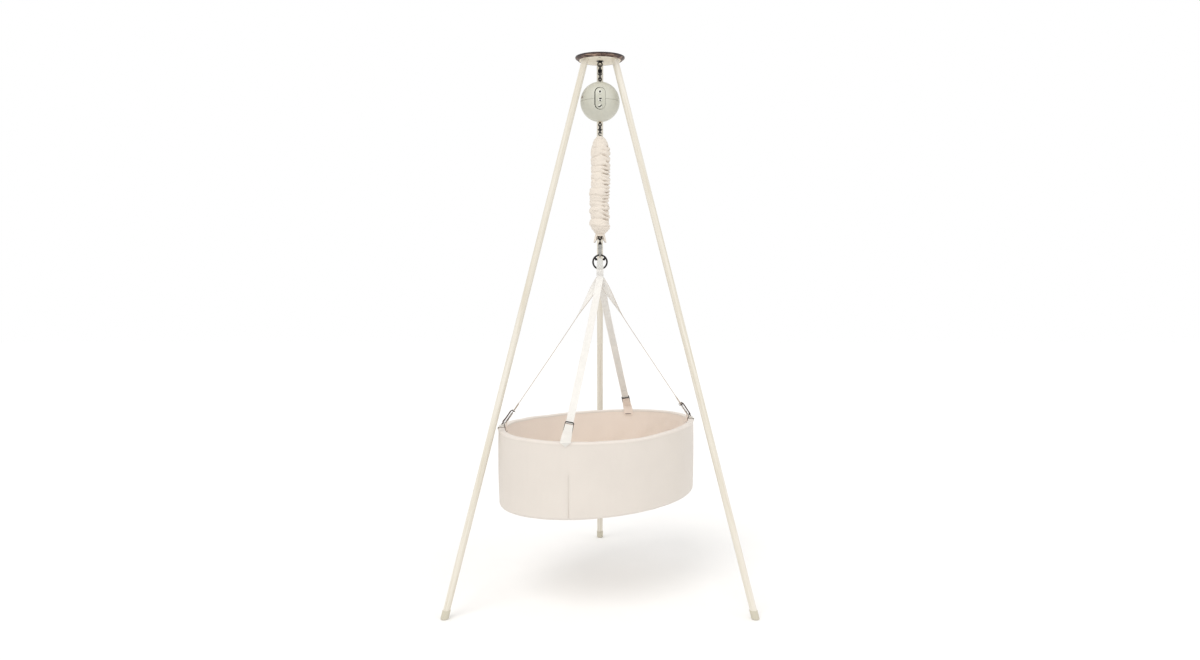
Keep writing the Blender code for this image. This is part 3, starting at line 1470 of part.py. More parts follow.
def make_basket(body):
    bottom = RIM_HEIGHT - SIDE_HEIGHT
    top = RIM_HEIGHT - BINDING_HEIGHT - GAP
    belly = -WALL_BELLY
    middle = (top + bottom) / 2
    outer_in = WALL_OUTER
    ledge_top = bottom + BOARD_PANEL_THICKNESS + 0.004
    outer = [(0.0, top), (belly, middle)]
    outer += hem_points(0.0, WALL_TOTAL, WALL_HEM_ROUND, bottom)
    outer += [
        (WALL_TOTAL + BOARD_PANEL_LEDGE, bottom),
        (WALL_TOTAL + BOARD_PANEL_LEDGE, bottom + 0.0025),
        (outer_in, bottom + 0.0025 + 0.004),
        (outer_in, top),
    ]
    wall = oval_loft("basket_wall", outer, True)
    carry(wall, body, OUTER_CLOTH)

    lining_out = outer_in + 2 * GAP + HOOP_THICKNESS
    lining = [
        (lining_out, top),
        (lining_out, ledge_top),
        (WALL_TOTAL, ledge_top),
        (WALL_TOTAL + 0.0010, middle),
        (WALL_TOTAL, top),
    ]
    carry(oval_loft("basket_lining", lining, True), body, LINING_CLOTH)

    hoop_out = outer_in + GAP
    hoop_top = top - HOOP_DROP
    hoop = [
        (hoop_out, hoop_top),
        (hoop_out, hoop_top - HOOP_HEIGHT),
        (hoop_out + HOOP_THICKNESS, hoop_top - HOOP_HEIGHT),
        (hoop_out + HOOP_THICKNESS, hoop_top),
    ]
    carry(oval_loft("rim_hoop", hoop, True), body, BRIGHT_STEEL)

    low = RIM_HEIGHT - BINDING_HEIGHT
    out = -BINDING_OVERHANG
    inside = WALL_TOTAL + BINDING_OVERHANG
    binding = [
        (out, low),
        (inside, low),
        (inside, low + BINDING_HEIGHT * 0.5),
        (inside - 0.0050, RIM_HEIGHT),
        (out + 0.0050, RIM_HEIGHT),
        (out, low + BINDING_HEIGHT * 0.5),
    ]
    carry(oval_loft("rim_binding", binding, True), body, OUTER_CLOTH)


def make_base_board(body):
    bottom = RIM_HEIGHT - SIDE_HEIGHT
    edge = WALL_OUTER + GAP
    low = bottom + 0.0025 + 0.004 + GAP
    profile = [
        (edge, low),
        (edge, low + BOARD_PANEL_THICKNESS - 0.0030),
    ]
    panel = oval_loft("base_board", profile, False)
    return carry(panel, body, PLYWOOD)


def make_mattress(body):
    """A pad with a crown, sides drawn in between the edges and sewn channels across."""
    bottom = RIM_HEIGHT - SIDE_HEIGHT
    edge = WALL_TOTAL + 0.0010 + MATTRESS_CLEARANCE
    low = bottom + BOARD_PANEL_THICKNESS + 0.004 + GAP
    high = low + MATTRESS_THICKNESS

    def crown(point, inset):
        if inset < edge + 0.02 or point.z < (low + high) / 2:
            return 0.0
        c, s = math.cos(BASKET_HEADING), math.sin(BASKET_HEADING)
        along = point.x * c + point.y * s
        spacing = BASKET_LENGTH / (MATTRESS_CHANNELS + 1)
        near = abs((along / spacing + 0.5) % 1.0 - 0.5) * spacing
        return -MATTRESS_CHANNEL_DEPTH * math.exp(-((near / 0.012) ** 2))

    profile = [
        (edge + 0.0080, low),
        (edge, low + 0.0080),
        (edge + MATTRESS_DRAW, low + MATTRESS_THICKNESS * 0.5),
        (edge, high - 0.0080),
        (edge + 0.0080, high),
        (edge + 0.0300, high + MATTRESS_CROWN * 0.35),
        (edge + 0.0700, high + MATTRESS_CROWN * 0.70),
        (edge + 0.1200, high + MATTRESS_CROWN * 0.90),
        (edge + 0.1800, high + MATTRESS_CROWN * 0.98),
        (edge + 0.2300, high + MATTRESS_CROWN),
    ]
    pad = oval_loft("mattress", profile, False, shape=crown)
    return carry(pad, body, MATTRESS_CLOTH)


# Straps, buckles and tabs


def rim_attachments():
    """The four places where the rim faces squarely front, left, rear and right."""
    a, b = BASKET_A, BASKET_B
    c, s = math.cos(BASKET_HEADING), math.sin(BASKET_HEADING)
    found = {}
    for name, normal in (
        ("front", Vector((0, -1, 0))),
        ("left", Vector((-1, 0, 0))),
        ("rear", Vector((0, 1, 0))),
        ("right", Vector((1, 0, 0))),
    ):
        nu = normal.x * c + normal.y * s
        nv = -normal.x * s + normal.y * c
        reach = math.hypot(a * nu, b * nv)
        u, v = a * a * nu / reach, b * b * nv / reach
        edge = Vector((u * c - v * s, u * s + v * c, RIM_HEIGHT))
        found[name] = {
            "edge": edge,
            "centre": edge - normal * WALL_TOTAL / 2,
            "normal": normal,
            "along": Vector((-normal.y, normal.x, 0)),
        }
    return found


def strap_line(place):
    """The strap's direction, its width's direction and the one that faces out of it."""
    along = (Vector((0, 0, BUNDLE_LOW)) - place["centre"]).normalized()
    side = place["along"] - along * place["along"].dot(along)
    side.normalize()
    out = side.cross(along)
    if out.dot(place["normal"]) < 0:
        out = -out
    return along, side, out


def tab_frame(place):
    """Maps (outward, up) in a tab's section, and its width, to the basket's space."""
    along, _, _ = strap_line(place)
    lean, drift = -along.dot(place["normal"]) / along.z, along.dot(place["along"]) / along.z

    def point(outward, up, width):
        sideways = width + drift * max(up, 0.0)
        return place["centre"] + place["normal"] * outward + place["along"] * sideways + Vector(
            (0, 0, up)
        )

    return point, lean, drift


def band_outline(path, thickness):
    """Both sides of a band that follows a path of (outward, up) points."""
    left, right = [], []
    for i, (x, y) in enumerate(path):
        before = path[max(i - 1, 0)]
        after = path[min(i + 1, len(path) - 1)]
        dx, dy = after[0] - before[0], after[1] - before[1]
        length = math.hypot(dx, dy)
        nx, ny = -dy / length, dx / length
        left.append((x + nx * thickness / 2, y + ny * thickness / 2))
        right.append((x - nx * thickness / 2, y - ny * thickness / 2))
    return left + right[::-1]


def section_solid(name, outline, width, point):
    """A section given width, with what stands above the rim leaning along with the strap."""
    work = bmesh.new()
    sides = []
    for half in (-width / 2, width / 2):
        sides.append([work.verts.new(point(x, y, half)) for x, y in outline])
    count = len(outline)
    for k in range(count):
        m = (k + 1) % count
        work.faces.new((sides[0][k], sides[0][m], sides[1][m], sides[1][k]))
    caps = [work.faces.new(sides[0]), work.faces.new(sides[1])]
    bmesh.ops.triangulate(work, faces=caps)
    bmesh.ops.recalc_face_normals(work, faces=work.faces)
    return object_of(name, mesh_of(name, work, 35))


def along_strap(lean, drift, distance):
    """(outward, up) at a distance up the strap's line from the rim's middle."""
    climb = distance / math.hypot(1.0, lean, drift)
    return -lean * climb, climb


def make_tab(name, place, body):
    """Two layers of cloth that straddle the rim and hold the buckle between them."""
    point, lean, drift = tab_frame(place)
    half_wall = WALL_TOTAL / 2 + BINDING_OVERHANG
    offset = TAB_THICKNESS / 2 + GAP
    inner_face = half_wall + TAB_THICKNESS / 2 + TAB_INSIDE_CLEARANCE
    spread = BUCKLE_WIRE / 2 + GAP + TAB_THICKNESS / 2
    scale = math.hypot(1.0, lean)
    nx, ny = 1.0 / scale, lean / scale

    def beside(distance, side):
        x, y = along_strap(lean, drift, distance)
        return x + side * nx * spread, y + side * ny * spread

    outer = [
        (half_wall + offset, -TAB_OUTSIDE_DROP - TAB_POINT),
        (half_wall + offset, -0.0040),
        (half_wall + offset * 0.6, 0.0010),
        beside(BUCKLE_LOW * 0.9, 1),
        beside((BUCKLE_LOW + TAB_REACH) / 2, 1),
        beside(TAB_REACH, 1),
    ]
    inner = [
        beside(TAB_REACH, -1),
        beside((BUCKLE_LOW + TAB_REACH) / 2, -1),
        beside(BUCKLE_LOW * 1.2, -1),
        (-inner_face, 0.0025),
        (-inner_face, -0.0040),
        (-inner_face, -TAB_INSIDE_DROP),
    ]
    tab = section_solid(name, band_outline(outer, TAB_THICKNESS), TAB_WIDTH, point)
    back = section_solid(name + "_back", band_outline(inner, TAB_THICKNESS), TAB_WIDTH, point)
    tack_low = BUCKLE_LOW + BUCKLE_WIRE / 2 + TACK_CLEARANCE
    corners = []
    for distance, side in (
        (tack_low, 1.15),
        (tack_low + TACK_LENGTH, 1.15),
        (tack_low + TACK_LENGTH, -1.15),
        (tack_low, -1.15),
    ):
        corners.append(beside(distance, side))
    tack = section_solid(name + "_tack", corners, TACK_WIDTH, point)
    for side in (-1, 1):
        wedge = [
            point(half_wall - 0.001, -TAB_OUTSIDE_DROP - TAB_POINT - 0.001, 0.0),
            point(half_wall - 0.001, -TAB_OUTSIDE_DROP - TAB_POINT - 0.001, side * TAB_WIDTH * 0.6),
            point(half_wall - 0.001, -TAB_OUTSIDE_DROP, side * TAB_WIDTH * 0.6),
        ]
        work = bmesh.new()
        near = [work.verts.new(p) for p in wedge]
        far = [work.verts.new(p + place["normal"] * 0.01) for p in wedge]
        work.faces.new(near)
        work.faces.new(far)
        for k in range(3):
            m = (k + 1) % 3
            work.faces.new((near[k], near[m], far[m], far[k]))
        bmesh.ops.recalc_face_normals(work, faces=work.faces)
        label = f"{name}_corner_{'left' if side < 0 else 'right'}"
        carve(tab, object_of(label, mesh_of(label, work), True))
    fuse(tab, tack, back)
    return carry(settle(tab), body, WEBBING)


def buckle_point(place, distance, width):
    along, side, _ = strap_line(place)
    return place["centre"] + along * distance + side * width


def make_buckle(name, place, body):
    """A four-sided wire loop between the strap and the tab."""
    half = STRAP_WIDTH / 2 + BUCKLE_SIDE_CLEARANCE + BUCKLE_WIRE / 2
    corner = BUCKLE_CORNER
    path = []
    corners = (
        (BUCKLE_LOW, -half, 1, 1),
        (BUCKLE_LOW, half, 1, -1),
        (BUCKLE_HIGH, half, -1, -1),
        (BUCKLE_HIGH, -half, -1, 1),
    )
    turns = ((270, 180), (0, -90), (90, 0), (180, 90))
    for (distance, width, up, side), (first, last) in zip(corners, turns):
        centre_d, centre_w = distance + up * corner, width + side * corner
        steps = [math.radians(first + (last - first) * i / 2) for i in range(3)]
        piece = [
            buckle_point(place, centre_d + corner * math.sin(t), centre_w + corner * math.cos(t))
            for t in steps
        ]
        path.append(piece)
    ordered = path[0][::-1] + path[1][::-1] + path[2][::-1] + path[3][::-1]
    return carry(wire(name, ordered, BUCKLE_WIRE, cyclic=True), body, DARK_STEEL)


def ribbon(name, stations, width, thickness):
    """A flat band through (place, width direction) stations: a loft, because it twists.

    A station may add the direction that its section looks along.
    """
    work = bmesh.new()
    rings = []
    for i, (place, across, *fixed) in enumerate(stations):
        before = stations[max(i - 1, 0)][0]
        after = stations[min(i + 1, len(stations) - 1)][0]
        along = fixed[0] if fixed else (after - before).normalized()
        across = (across - along * across.dot(along)).normalized()
        through = along.cross(across)
        w, t = across * width / 2, through * thickness / 2
        rings.append([work.verts.new(place + c) for c in (-w - t, w - t, w + t, -w + t)])
    for first, second in zip(rings, rings[1:]):
        for k in (1, 3):
            m = (k + 1) % 4
            work.faces.new((first[k], first[m], second[m], second[k]))
        # both broad sides turn about the same diagonal, so they stay parallel
        for near, far in ((0, 1), (3, 2)):
            work.faces.new((first[near], first[far], second[far]))
            work.faces.new((first[near], second[far], second[near]))
    work.faces.new(rings[0])
    work.faces.new(rings[-1])
    bmesh.ops.recalc_face_normals(work, faces=work.faces)
    return object_of(name, mesh_of(name, work, 40))


def round_wire(diameter, step):
    """The radius of a webbing's middle round a wire, when its bend has corners of a step."""
    return (diameter / 2 + GAP) / math.cos(math.radians(step / 2)) + STRAP_THICKNESS / 2


def strap_leg(place, bundle_y, side_sign):
    """Stations from the sewn flap round the buckle's top bar and up to the bundle."""
    along, side, out = strap_line(place)
    side = side * side_sign
    bar = buckle_point(place, BUCKLE_HIGH, 0.0)
    end = Vector((0, bundle_y, BUNDLE_LOW))
    loop = round_wire(BUCKLE_WIRE, 45.0)
    layer = (STRAP_THICKNESS + GAP) / 2
    stations = [
        (bar - out * layer + along * STRAP_FLAP_LENGTH, side, -along),
        (bar - out * layer + along * loop * 2.2, side, -along),
    ]
    for i in range(5):
        turn = math.pi * i / 4
        place_on_bar = bar - out * loop * math.cos(turn) - along * loop * math.sin(turn)
        stations.append((place_on_bar, side))
    stations.append((bar + out * layer + along * loop * 2.2, side, along))
    stations.append((bar + out * layer + along * STRAP_FLAP_LENGTH, side, along))
    joined = bar + along * (STRAP_FLAP_LENGTH + 0.008)
    stations.append((joined, side, along))
    length = (end - joined).length
    across_top = Vector((1, 0, 0))
    if across_top.dot(side) < -0.001 or (abs(across_top.dot(side)) <= 0.001 and side.y < 0):
        across_top = -across_top
    count = max(1, math.ceil(across_top.angle(side) / STRAP_TWIST_STEP))
    for i in range(count):
        left = STRAP_TWIST_LENGTH * (1 - i / count)
        across = side.slerp(across_top, i / count)
        stations.append((end.lerp(joined, left / length), across))
    stations.append((end, across_top, Vector((0, 0, 1))))
    return stations


def make_strap_pair(name, first, second, order, body):
    """One long webbing: up from one tab, over the ring's lower wire, down to the other tab.

    The ring's wire curves up towards the webbing's edges, so the webbing rests on its edges.
    """
    step = STRAP_THICKNESS + GAP
    bundle_y = STRAP_THICKNESS / 2 + GAP / 2 + order * step
    loop = round_wire(RING_WIRE, 30.0) + order * step
    half = STRAP_WIDTH / 2
    rise = RING_RADIUS - math.sqrt(RING_RADIUS**2 - half**2) + STRAP_SEAT_RISE
    saddle = (0, 0, RING_LOW_WIRE + rise)
    pinch_low = RING_LOW_WIRE - STRAP_PINCH_LENGTH
    up, down = Vector((0, 0, 1)), Vector((0, 0, -1))
    rising = strap_leg(first, -bundle_y, 1)
    across = rising[-1][1]
    beside = RING_LOW_WIRE - RING_WIRE * 0.4
    stations = rising + [(Vector((0, -bundle_y, pinch_low)), across, up)]
    stations.append((Vector((0, -loop, beside)), across, up))
    stations += [(point, across) for point in arc(saddle, loop, 180, 0, 6, "YZ")]
    stations.append((Vector((0, loop, beside)), across, down))
    stations.append((Vector((0, bundle_y, pinch_low)), across, down))
    falling = strap_leg(second, bundle_y, -1)
    sign = 1 if falling[-1][1].dot(across) > 0 else -1
    for place, side, *along in falling[::-1]:
        fixed = [-along[0]] if along else []
        stations.append((place, side * sign, *fixed))
    return carry(ribbon(name, stations, STRAP_WIDTH, STRAP_THICKNESS), body, WEBBING)


def build():
    clear_scene()
    axis = pivot("suspension_axis", (0.0, AXIS_Y, 0.0))
    stand = pivot("stand_frame", (0, 0, 0), axis)

    make_disc(stand)
    make_hub_plate(stand)
    for name, heading in disc_screw_headings():
        make_disc_screw(name, heading, stand)
    for leg, heading in LEG_HEADINGS.items():
        make_leg(leg, heading, stand)
        make_foot(leg, heading, stand)
        make_leg_bolt("leg_bolt_" + leg, heading, stand)
    make_eye_bolt(stand)
    nut_low = HUB_TOP - EYE_NUT_HEIGHT
    make_nut("eye_nut", EYE_NUT_WIDTH, nut_low, EYE_NUT_HEIGHT, EYE_SHANK, stand)

    fore_swing = pivot("fore_swing_pivot", (0, 0, FORE_SWING_HEIGHT), stand)
    upper = (UPPER_HOOK_TOP, SIDE_SWING_HEIGHT, UPPER_HOOK_WIDTH, UPPER_HOOK_WIRE)
    make_carabiner("upper_carabiner", *upper, fore_swing)
    upper_gate = pivot("upper_gate_pivot", gate_pin(*upper), fore_swing)
    make_gate("upper_gate", *upper, upper_gate)

    motor = pivot("side_swing_pivot", (0, 0, SIDE_SWING_HEIGHT), fore_swing)
    make_shell("upper_shell", True, motor)
    make_shell("lower_shell", False, motor)
    make_panel(motor)
    make_board(motor)
    make_socket(motor)
    make_chassis(motor)
    make_hanger(motor)
    hanger_nut_low = BALL_CENTRE_HEIGHT + FRAME_HEIGHT / 2 - FRAME_BAR - HANGER_NUT_HEIGHT - GAP
    make_nut(
        "hanger_nut", HANGER_NUT_WIDTH, hanger_nut_low, HANGER_NUT_HEIGHT, HANGER_SHANK, motor
    )
    make_bush(motor)
    make_gear_motor(motor)
    for name, rise in BUTTON_HEIGHTS.items():
        place = (0, -BALL_RADIUS, BALL_CENTRE_HEIGHT + rise)
        make_button(name, rise, pivot(name + "_slide", place, motor))
    pinion = pivot("pinion_axis", (PINION_OFFSET, 0, BALL_CENTRE_HEIGHT), motor)
    make_pinion(pinion)

    rod = pivot("rod_slide", (0, 0, ROD_EYE_HEIGHT), motor)
    make_rod(rod)
    lower = (LOWER_HOOK_TOP, LOWER_HOOK_LOW, LOWER_HOOK_WIDTH, LOWER_HOOK_WIRE)
    make_carabiner("lower_carabiner", *lower, rod)
    lower_gate = pivot("lower_gate_pivot", gate_pin(*lower), rod)
    make_gate("lower_gate", *lower, lower_gate)
    make_spring(rod)
    make_sleeve(rod)

    bounce = pivot("bounce_slide", (0, 0, LINK_TOP_HEIGHT), rod)
    make_link(bounce)
    make_swivel_eye(bounce)

    swivel = pivot("swivel_axis", (0, 0, BARREL_TOP), bounce)
    make_snap(swivel)
    snap_gate = pivot("snap_gate_pivot", snap_gate_pin(), swivel)
    make_snap_gate(snap_gate)
    make_ring(swivel)
    places = rim_attachments()
    make_strap_pair("strap_front_rear", places["front"], places["rear"], 1, swivel)
    make_strap_pair("strap_left_right", places["left"], places["right"], 0, swivel)
    for name, place in places.items():
        make_buckle("buckle_" + name, place, swivel)
        make_tab("tab_" + name, place, swivel)
    make_basket(swivel)
    make_base_board(swivel)
    make_mattress(swivel)


build()
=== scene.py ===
"""Looks of the spring cradle: finer meshes, cloth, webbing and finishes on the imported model.

Metres, +Z up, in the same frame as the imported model. Shapes are drawn about the suspension axis
and moved onto it by AXIS.
"""

import math

import bmesh
import bpy
from mathutils import Matrix, Vector, noise


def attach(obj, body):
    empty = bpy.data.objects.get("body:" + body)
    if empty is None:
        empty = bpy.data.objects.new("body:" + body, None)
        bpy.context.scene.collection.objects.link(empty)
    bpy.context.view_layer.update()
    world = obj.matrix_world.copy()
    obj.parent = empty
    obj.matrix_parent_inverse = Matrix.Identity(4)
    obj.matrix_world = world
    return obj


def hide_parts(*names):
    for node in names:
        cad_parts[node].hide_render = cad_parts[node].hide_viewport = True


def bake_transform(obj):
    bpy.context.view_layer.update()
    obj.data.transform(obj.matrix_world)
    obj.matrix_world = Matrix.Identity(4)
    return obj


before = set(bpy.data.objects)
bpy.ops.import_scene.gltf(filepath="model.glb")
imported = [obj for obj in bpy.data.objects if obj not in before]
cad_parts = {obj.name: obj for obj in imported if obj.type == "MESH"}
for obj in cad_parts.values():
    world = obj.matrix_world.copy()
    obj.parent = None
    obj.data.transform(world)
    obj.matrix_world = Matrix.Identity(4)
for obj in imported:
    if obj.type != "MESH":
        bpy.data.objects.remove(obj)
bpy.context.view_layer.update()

AXIS = Vector((0.0, -0.12442422, 0.0))
GAP = 0.0003
LINK_GAP = 0.00015
WELD_DISTANCE = 0.00003

# Stand
STAND_HEIGHT = 1.800
FOOT_CIRCLE_RADIUS = 0.567
LEG_TOP_RADIUS = 0.056
LEG_DIAMETER = 0.022
LEG_HEADINGS = {"front_left": -150.0, "front_right": -30.0, "rear": 90.0}
DISC_DIAMETER = 0.164
DISC_THICKNESS = 0.0125
HUB_PLATE_DIAMETER = 0.139
HUB_PLATE_THICKNESS = 0.0075
FOOT_DIAMETER = 0.0250
FOOT_HEIGHT = 0.028
FOOT_FLOOR = 0.005
EYE_SHANK = 0.0080
EYE_COLLAR_RADIUS = 0.0115
EYE_COLLAR_HEIGHT = 0.0040
EYE_WIRE = 0.0045
EYE_RADIUS = 0.0070
DISC_EDGE = 0.0080
DISC_CHAMFER = 0.0100
SCREW_CIRCLE_RADIUS = 0.054
SCREW_HOLE_RADIUS = 0.00205
SCREW_HEAD_RADIUS = 0.00455
FOOT_ROUND = 0.0038
FOOT_EDGE = 0.0011

# Hooks
UPPER_HOOK_WIRE = 0.0050
UPPER_HOOK_WIDTH = 0.0180
UPPER_HOOK_LENGTH = 0.04525
LOWER_HOOK_WIRE = 0.0040
LOWER_HOOK_WIDTH = 0.0140
LOWER_HOOK_LENGTH = 0.0270
HOOK_HINGE_PIN = 0.0020
HOOK_CHEEK = 0.0012
HOOK_PIN_RISE = 1.1
HOOK_BROAD = 1.2
HOOK_EYE_SHARE = 0.16
GRIP_OVAL = 1.5

# Drive
BALL_RADIUS = 0.0655
BALL_WALL = 0.0025
HANGER_WIRE = 0.0035
HANGER_EYE_RADIUS = 0.0050
HANGER_SHANK = 0.0060
HANGER_COLLAR_RADIUS = 0.0060
HANGER_COLLAR_HEIGHT = 0.0020
PANEL_WIDTH = 0.036
PANEL_LENGTH = 0.073
PANEL_RISE = 0.0028
PANEL_PROUD = 0.0006
PANEL_WALL = 0.0030
PANEL_SHIFT = Vector((0.0011, 0.0, -0.0004))
BUTTON_DIAMETER = 0.0140
BUTTONS = {"power_button": 0.0228, "speed_button": -0.0033, "timer_button": -0.0238}
BUTTON_PROUD = 0.0008
ROD_DIAMETER = 0.0080
ROD_TRAVEL = 0.020
ROD_EYE_DROP = 0.0095
RACK_MODULE = 0.0010
RACK_LINE = 0.0030
RACK_ROOT = 0.00115
RACK_TIP = 0.0008
SOCKET_RISE = 0.0110
SOCKET_DIAMETER = 0.0085
SOCKET_HEADING = -156.0

# Spring, link, swivel and ring
SPRING_WIRE = 0.0036
SPRING_RADIUS = 0.0170
SPRING_LENGTH = 0.3398
SPRING_PITCH = 0.0130
SPRING_HOOK_RADIUS = 0.0050
SPRING_CONE_HEIGHT = 0.0150
SPRING_CONE_TURNS = 1.5
LINK_WIRE = 0.0040
LINK_WIDTH = 0.0084
LINK_HEIGHT = 0.0216
SWIVEL_EYE_WIRE = 0.0035
SWIVEL_EYE_RADIUS = 0.0045
SWIVEL_STEM = 0.0050
SWIVEL_SKIRT_RADIUS = 0.0066
SWIVEL_SKIRT_HEIGHT = 0.0090
SWIVEL_BARREL_RADIUS = 0.0070
SWIVEL_BARREL_HEIGHT = 0.0110
SNAP_WIRE = 0.0055
SNAP_RADIUS = 0.0068
SNAP_PLATE_WIDTH = 0.0120
SNAP_GATE_THICKNESS = 0.0024
SNAP_NOSE_RISE = 0.0060
SNAP_LENGTH = 0.02965
RING_WIRE = 0.0060
RING_RADIUS = 0.0235

# Webbing
STRAP_WIDTH = 0.0235
STRAP_THICKNESS = 0.0018
STRAP_BUNDLE_LENGTH = 0.0450
STRAP_PINCH_LENGTH = 0.0150
STRAP_TWIST_LENGTH = 0.160
STRAP_FLAP_LENGTH = 0.030
STRAP_FALL = 0.5315
STRAP_SEAT_RISE = 0.0010

# Basket
BASKET_LENGTH = 0.755
BASKET_WIDTH = 0.540
BASKET_HEADING = math.radians(45.2)
SIDE_HEIGHT = 0.239
WALL_OUTER = 0.0080
WALL_INNER = 0.0085
HOOP_THICKNESS = 0.0012
BINDING_HEIGHT = 0.0070
BINDING_OVERHANG = 0.0006
WALL_HEM_ROUND = 0.0100
BOARD_PANEL_THICKNESS = 0.0060
MATTRESS_THICKNESS = 0.050
MATTRESS_CROWN = 0.010
MATTRESS_CLEARANCE = 0.0040
MATTRESS_DRAW = 0.0040
MATTRESS_CHANNELS = 5
MATTRESS_ROUND_WIDTH = 0.0060
MATTRESS_ROUND_HEIGHT = 0.0065
MATTRESS_EDGE_GAP = 0.0020
COVER_THICKNESS = 0.0014
LINING_THICKNESS = 0.0010
PIPING_RADIUS = 0.0013
SHEET_STEP = 0.0045

# Tabs and buckles
TAB_WIDTH = 0.033
TAB_THICKNESS = 0.0018
TAB_REACH = 0.0600
TAB_INSIDE_CLEARANCE = 0.0014
BUCKLE_WIRE = 0.0026
BUCKLE_SIDE_CLEARANCE = 0.0005
BUCKLE_CORNER = 0.0020
BUCKLE_LOW = 0.0160
BUCKLE_HIGH = 0.0650

# Places that follow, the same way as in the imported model
HUB_UNDERSIDE = STAND_HEIGHT - DISC_THICKNESS
HUB_TOP = HUB_UNDERSIDE + HUB_PLATE_THICKNESS
LEG_SLOPE = (FOOT_CIRCLE_RADIUS - LEG_TOP_RADIUS) / HUB_UNDERSIDE
EYE_CENTRE = HUB_UNDERSIDE - GAP - EYE_COLLAR_HEIGHT - EYE_RADIUS
UPPER_HOOK_TOP = EYE_CENTRE - EYE_RADIUS + (EYE_WIRE + UPPER_HOOK_WIRE) / 2 + LINK_GAP
UPPER_HOOK_LOW = UPPER_HOOK_TOP - UPPER_HOOK_LENGTH
HANGER_EYE_CENTRE = (
    UPPER_HOOK_LOW + (HANGER_WIRE + UPPER_HOOK_WIRE) / 2 + LINK_GAP - HANGER_EYE_RADIUS
)
HANGER_COLLAR_TOP = HANGER_EYE_CENTRE - HANGER_EYE_RADIUS - HANGER_WIRE / 2
BALL_CENTRE = HANGER_COLLAR_TOP - HANGER_COLLAR_HEIGHT - BALL_RADIUS
ROD_EYE_HEIGHT = BALL_CENTRE - BALL_RADIUS - ROD_EYE_DROP
LOWER_HOOK_TOP = (
    ROD_EYE_HEIGHT - HANGER_EYE_RADIUS + (HANGER_WIRE + LOWER_HOOK_WIRE) / 2 + LINK_GAP
)
LOWER_HOOK_LOW = LOWER_HOOK_TOP - LOWER_HOOK_LENGTH
SPRING_HOOK_TOP = LOWER_HOOK_LOW + (LOWER_HOOK_WIRE + SPRING_WIRE) / 2 + LINK_GAP
SPRING_HOOK_LOW = SPRING_HOOK_TOP - SPRING_LENGTH
SPRING_TOP = SPRING_HOOK_TOP - 2 * SPRING_HOOK_RADIUS
SPRING_LOW = SPRING_HOOK_LOW + 2 * SPRING_HOOK_RADIUS
LINK_TOP_HEIGHT = SPRING_HOOK_LOW + (LINK_WIRE + SPRING_WIRE) / 2 + LINK_GAP
LINK_LOW_HEIGHT = LINK_TOP_HEIGHT - LINK_HEIGHT
SWIVEL_EYE_TOP = LINK_LOW_HEIGHT + (LINK_WIRE + SWIVEL_EYE_WIRE) / 2 + LINK_GAP
SWIVEL_EYE_LOW = SWIVEL_EYE_TOP - 2 * SWIVEL_EYE_RADIUS
BARREL_TOP = SWIVEL_EYE_LOW - SWIVEL_EYE_WIRE / 2 - SWIVEL_SKIRT_HEIGHT - GAP
BARREL_LOW = BARREL_TOP - SWIVEL_BARREL_HEIGHT
SNAP_LOW = BARREL_LOW - SNAP_LENGTH
RING_HEIGHT = SNAP_LOW + (RING_WIRE + SNAP_WIRE) / 2 + LINK_GAP - RING_RADIUS
RING_LOW_WIRE = RING_HEIGHT - RING_RADIUS
BUNDLE_LOW = RING_LOW_WIRE - STRAP_BUNDLE_LENGTH
RIM_HEIGHT = RING_LOW_WIRE - STRAP_FALL
BASKET_A = BASKET_LENGTH / 2
BASKET_B = BASKET_WIDTH / 2
WALL_TOTAL = WALL_OUTER + WALL_INNER + HOOP_THICKNESS + 2 * GAP
BASKET_BOTTOM = RIM_HEIGHT - SIDE_HEIGHT


# Finishes


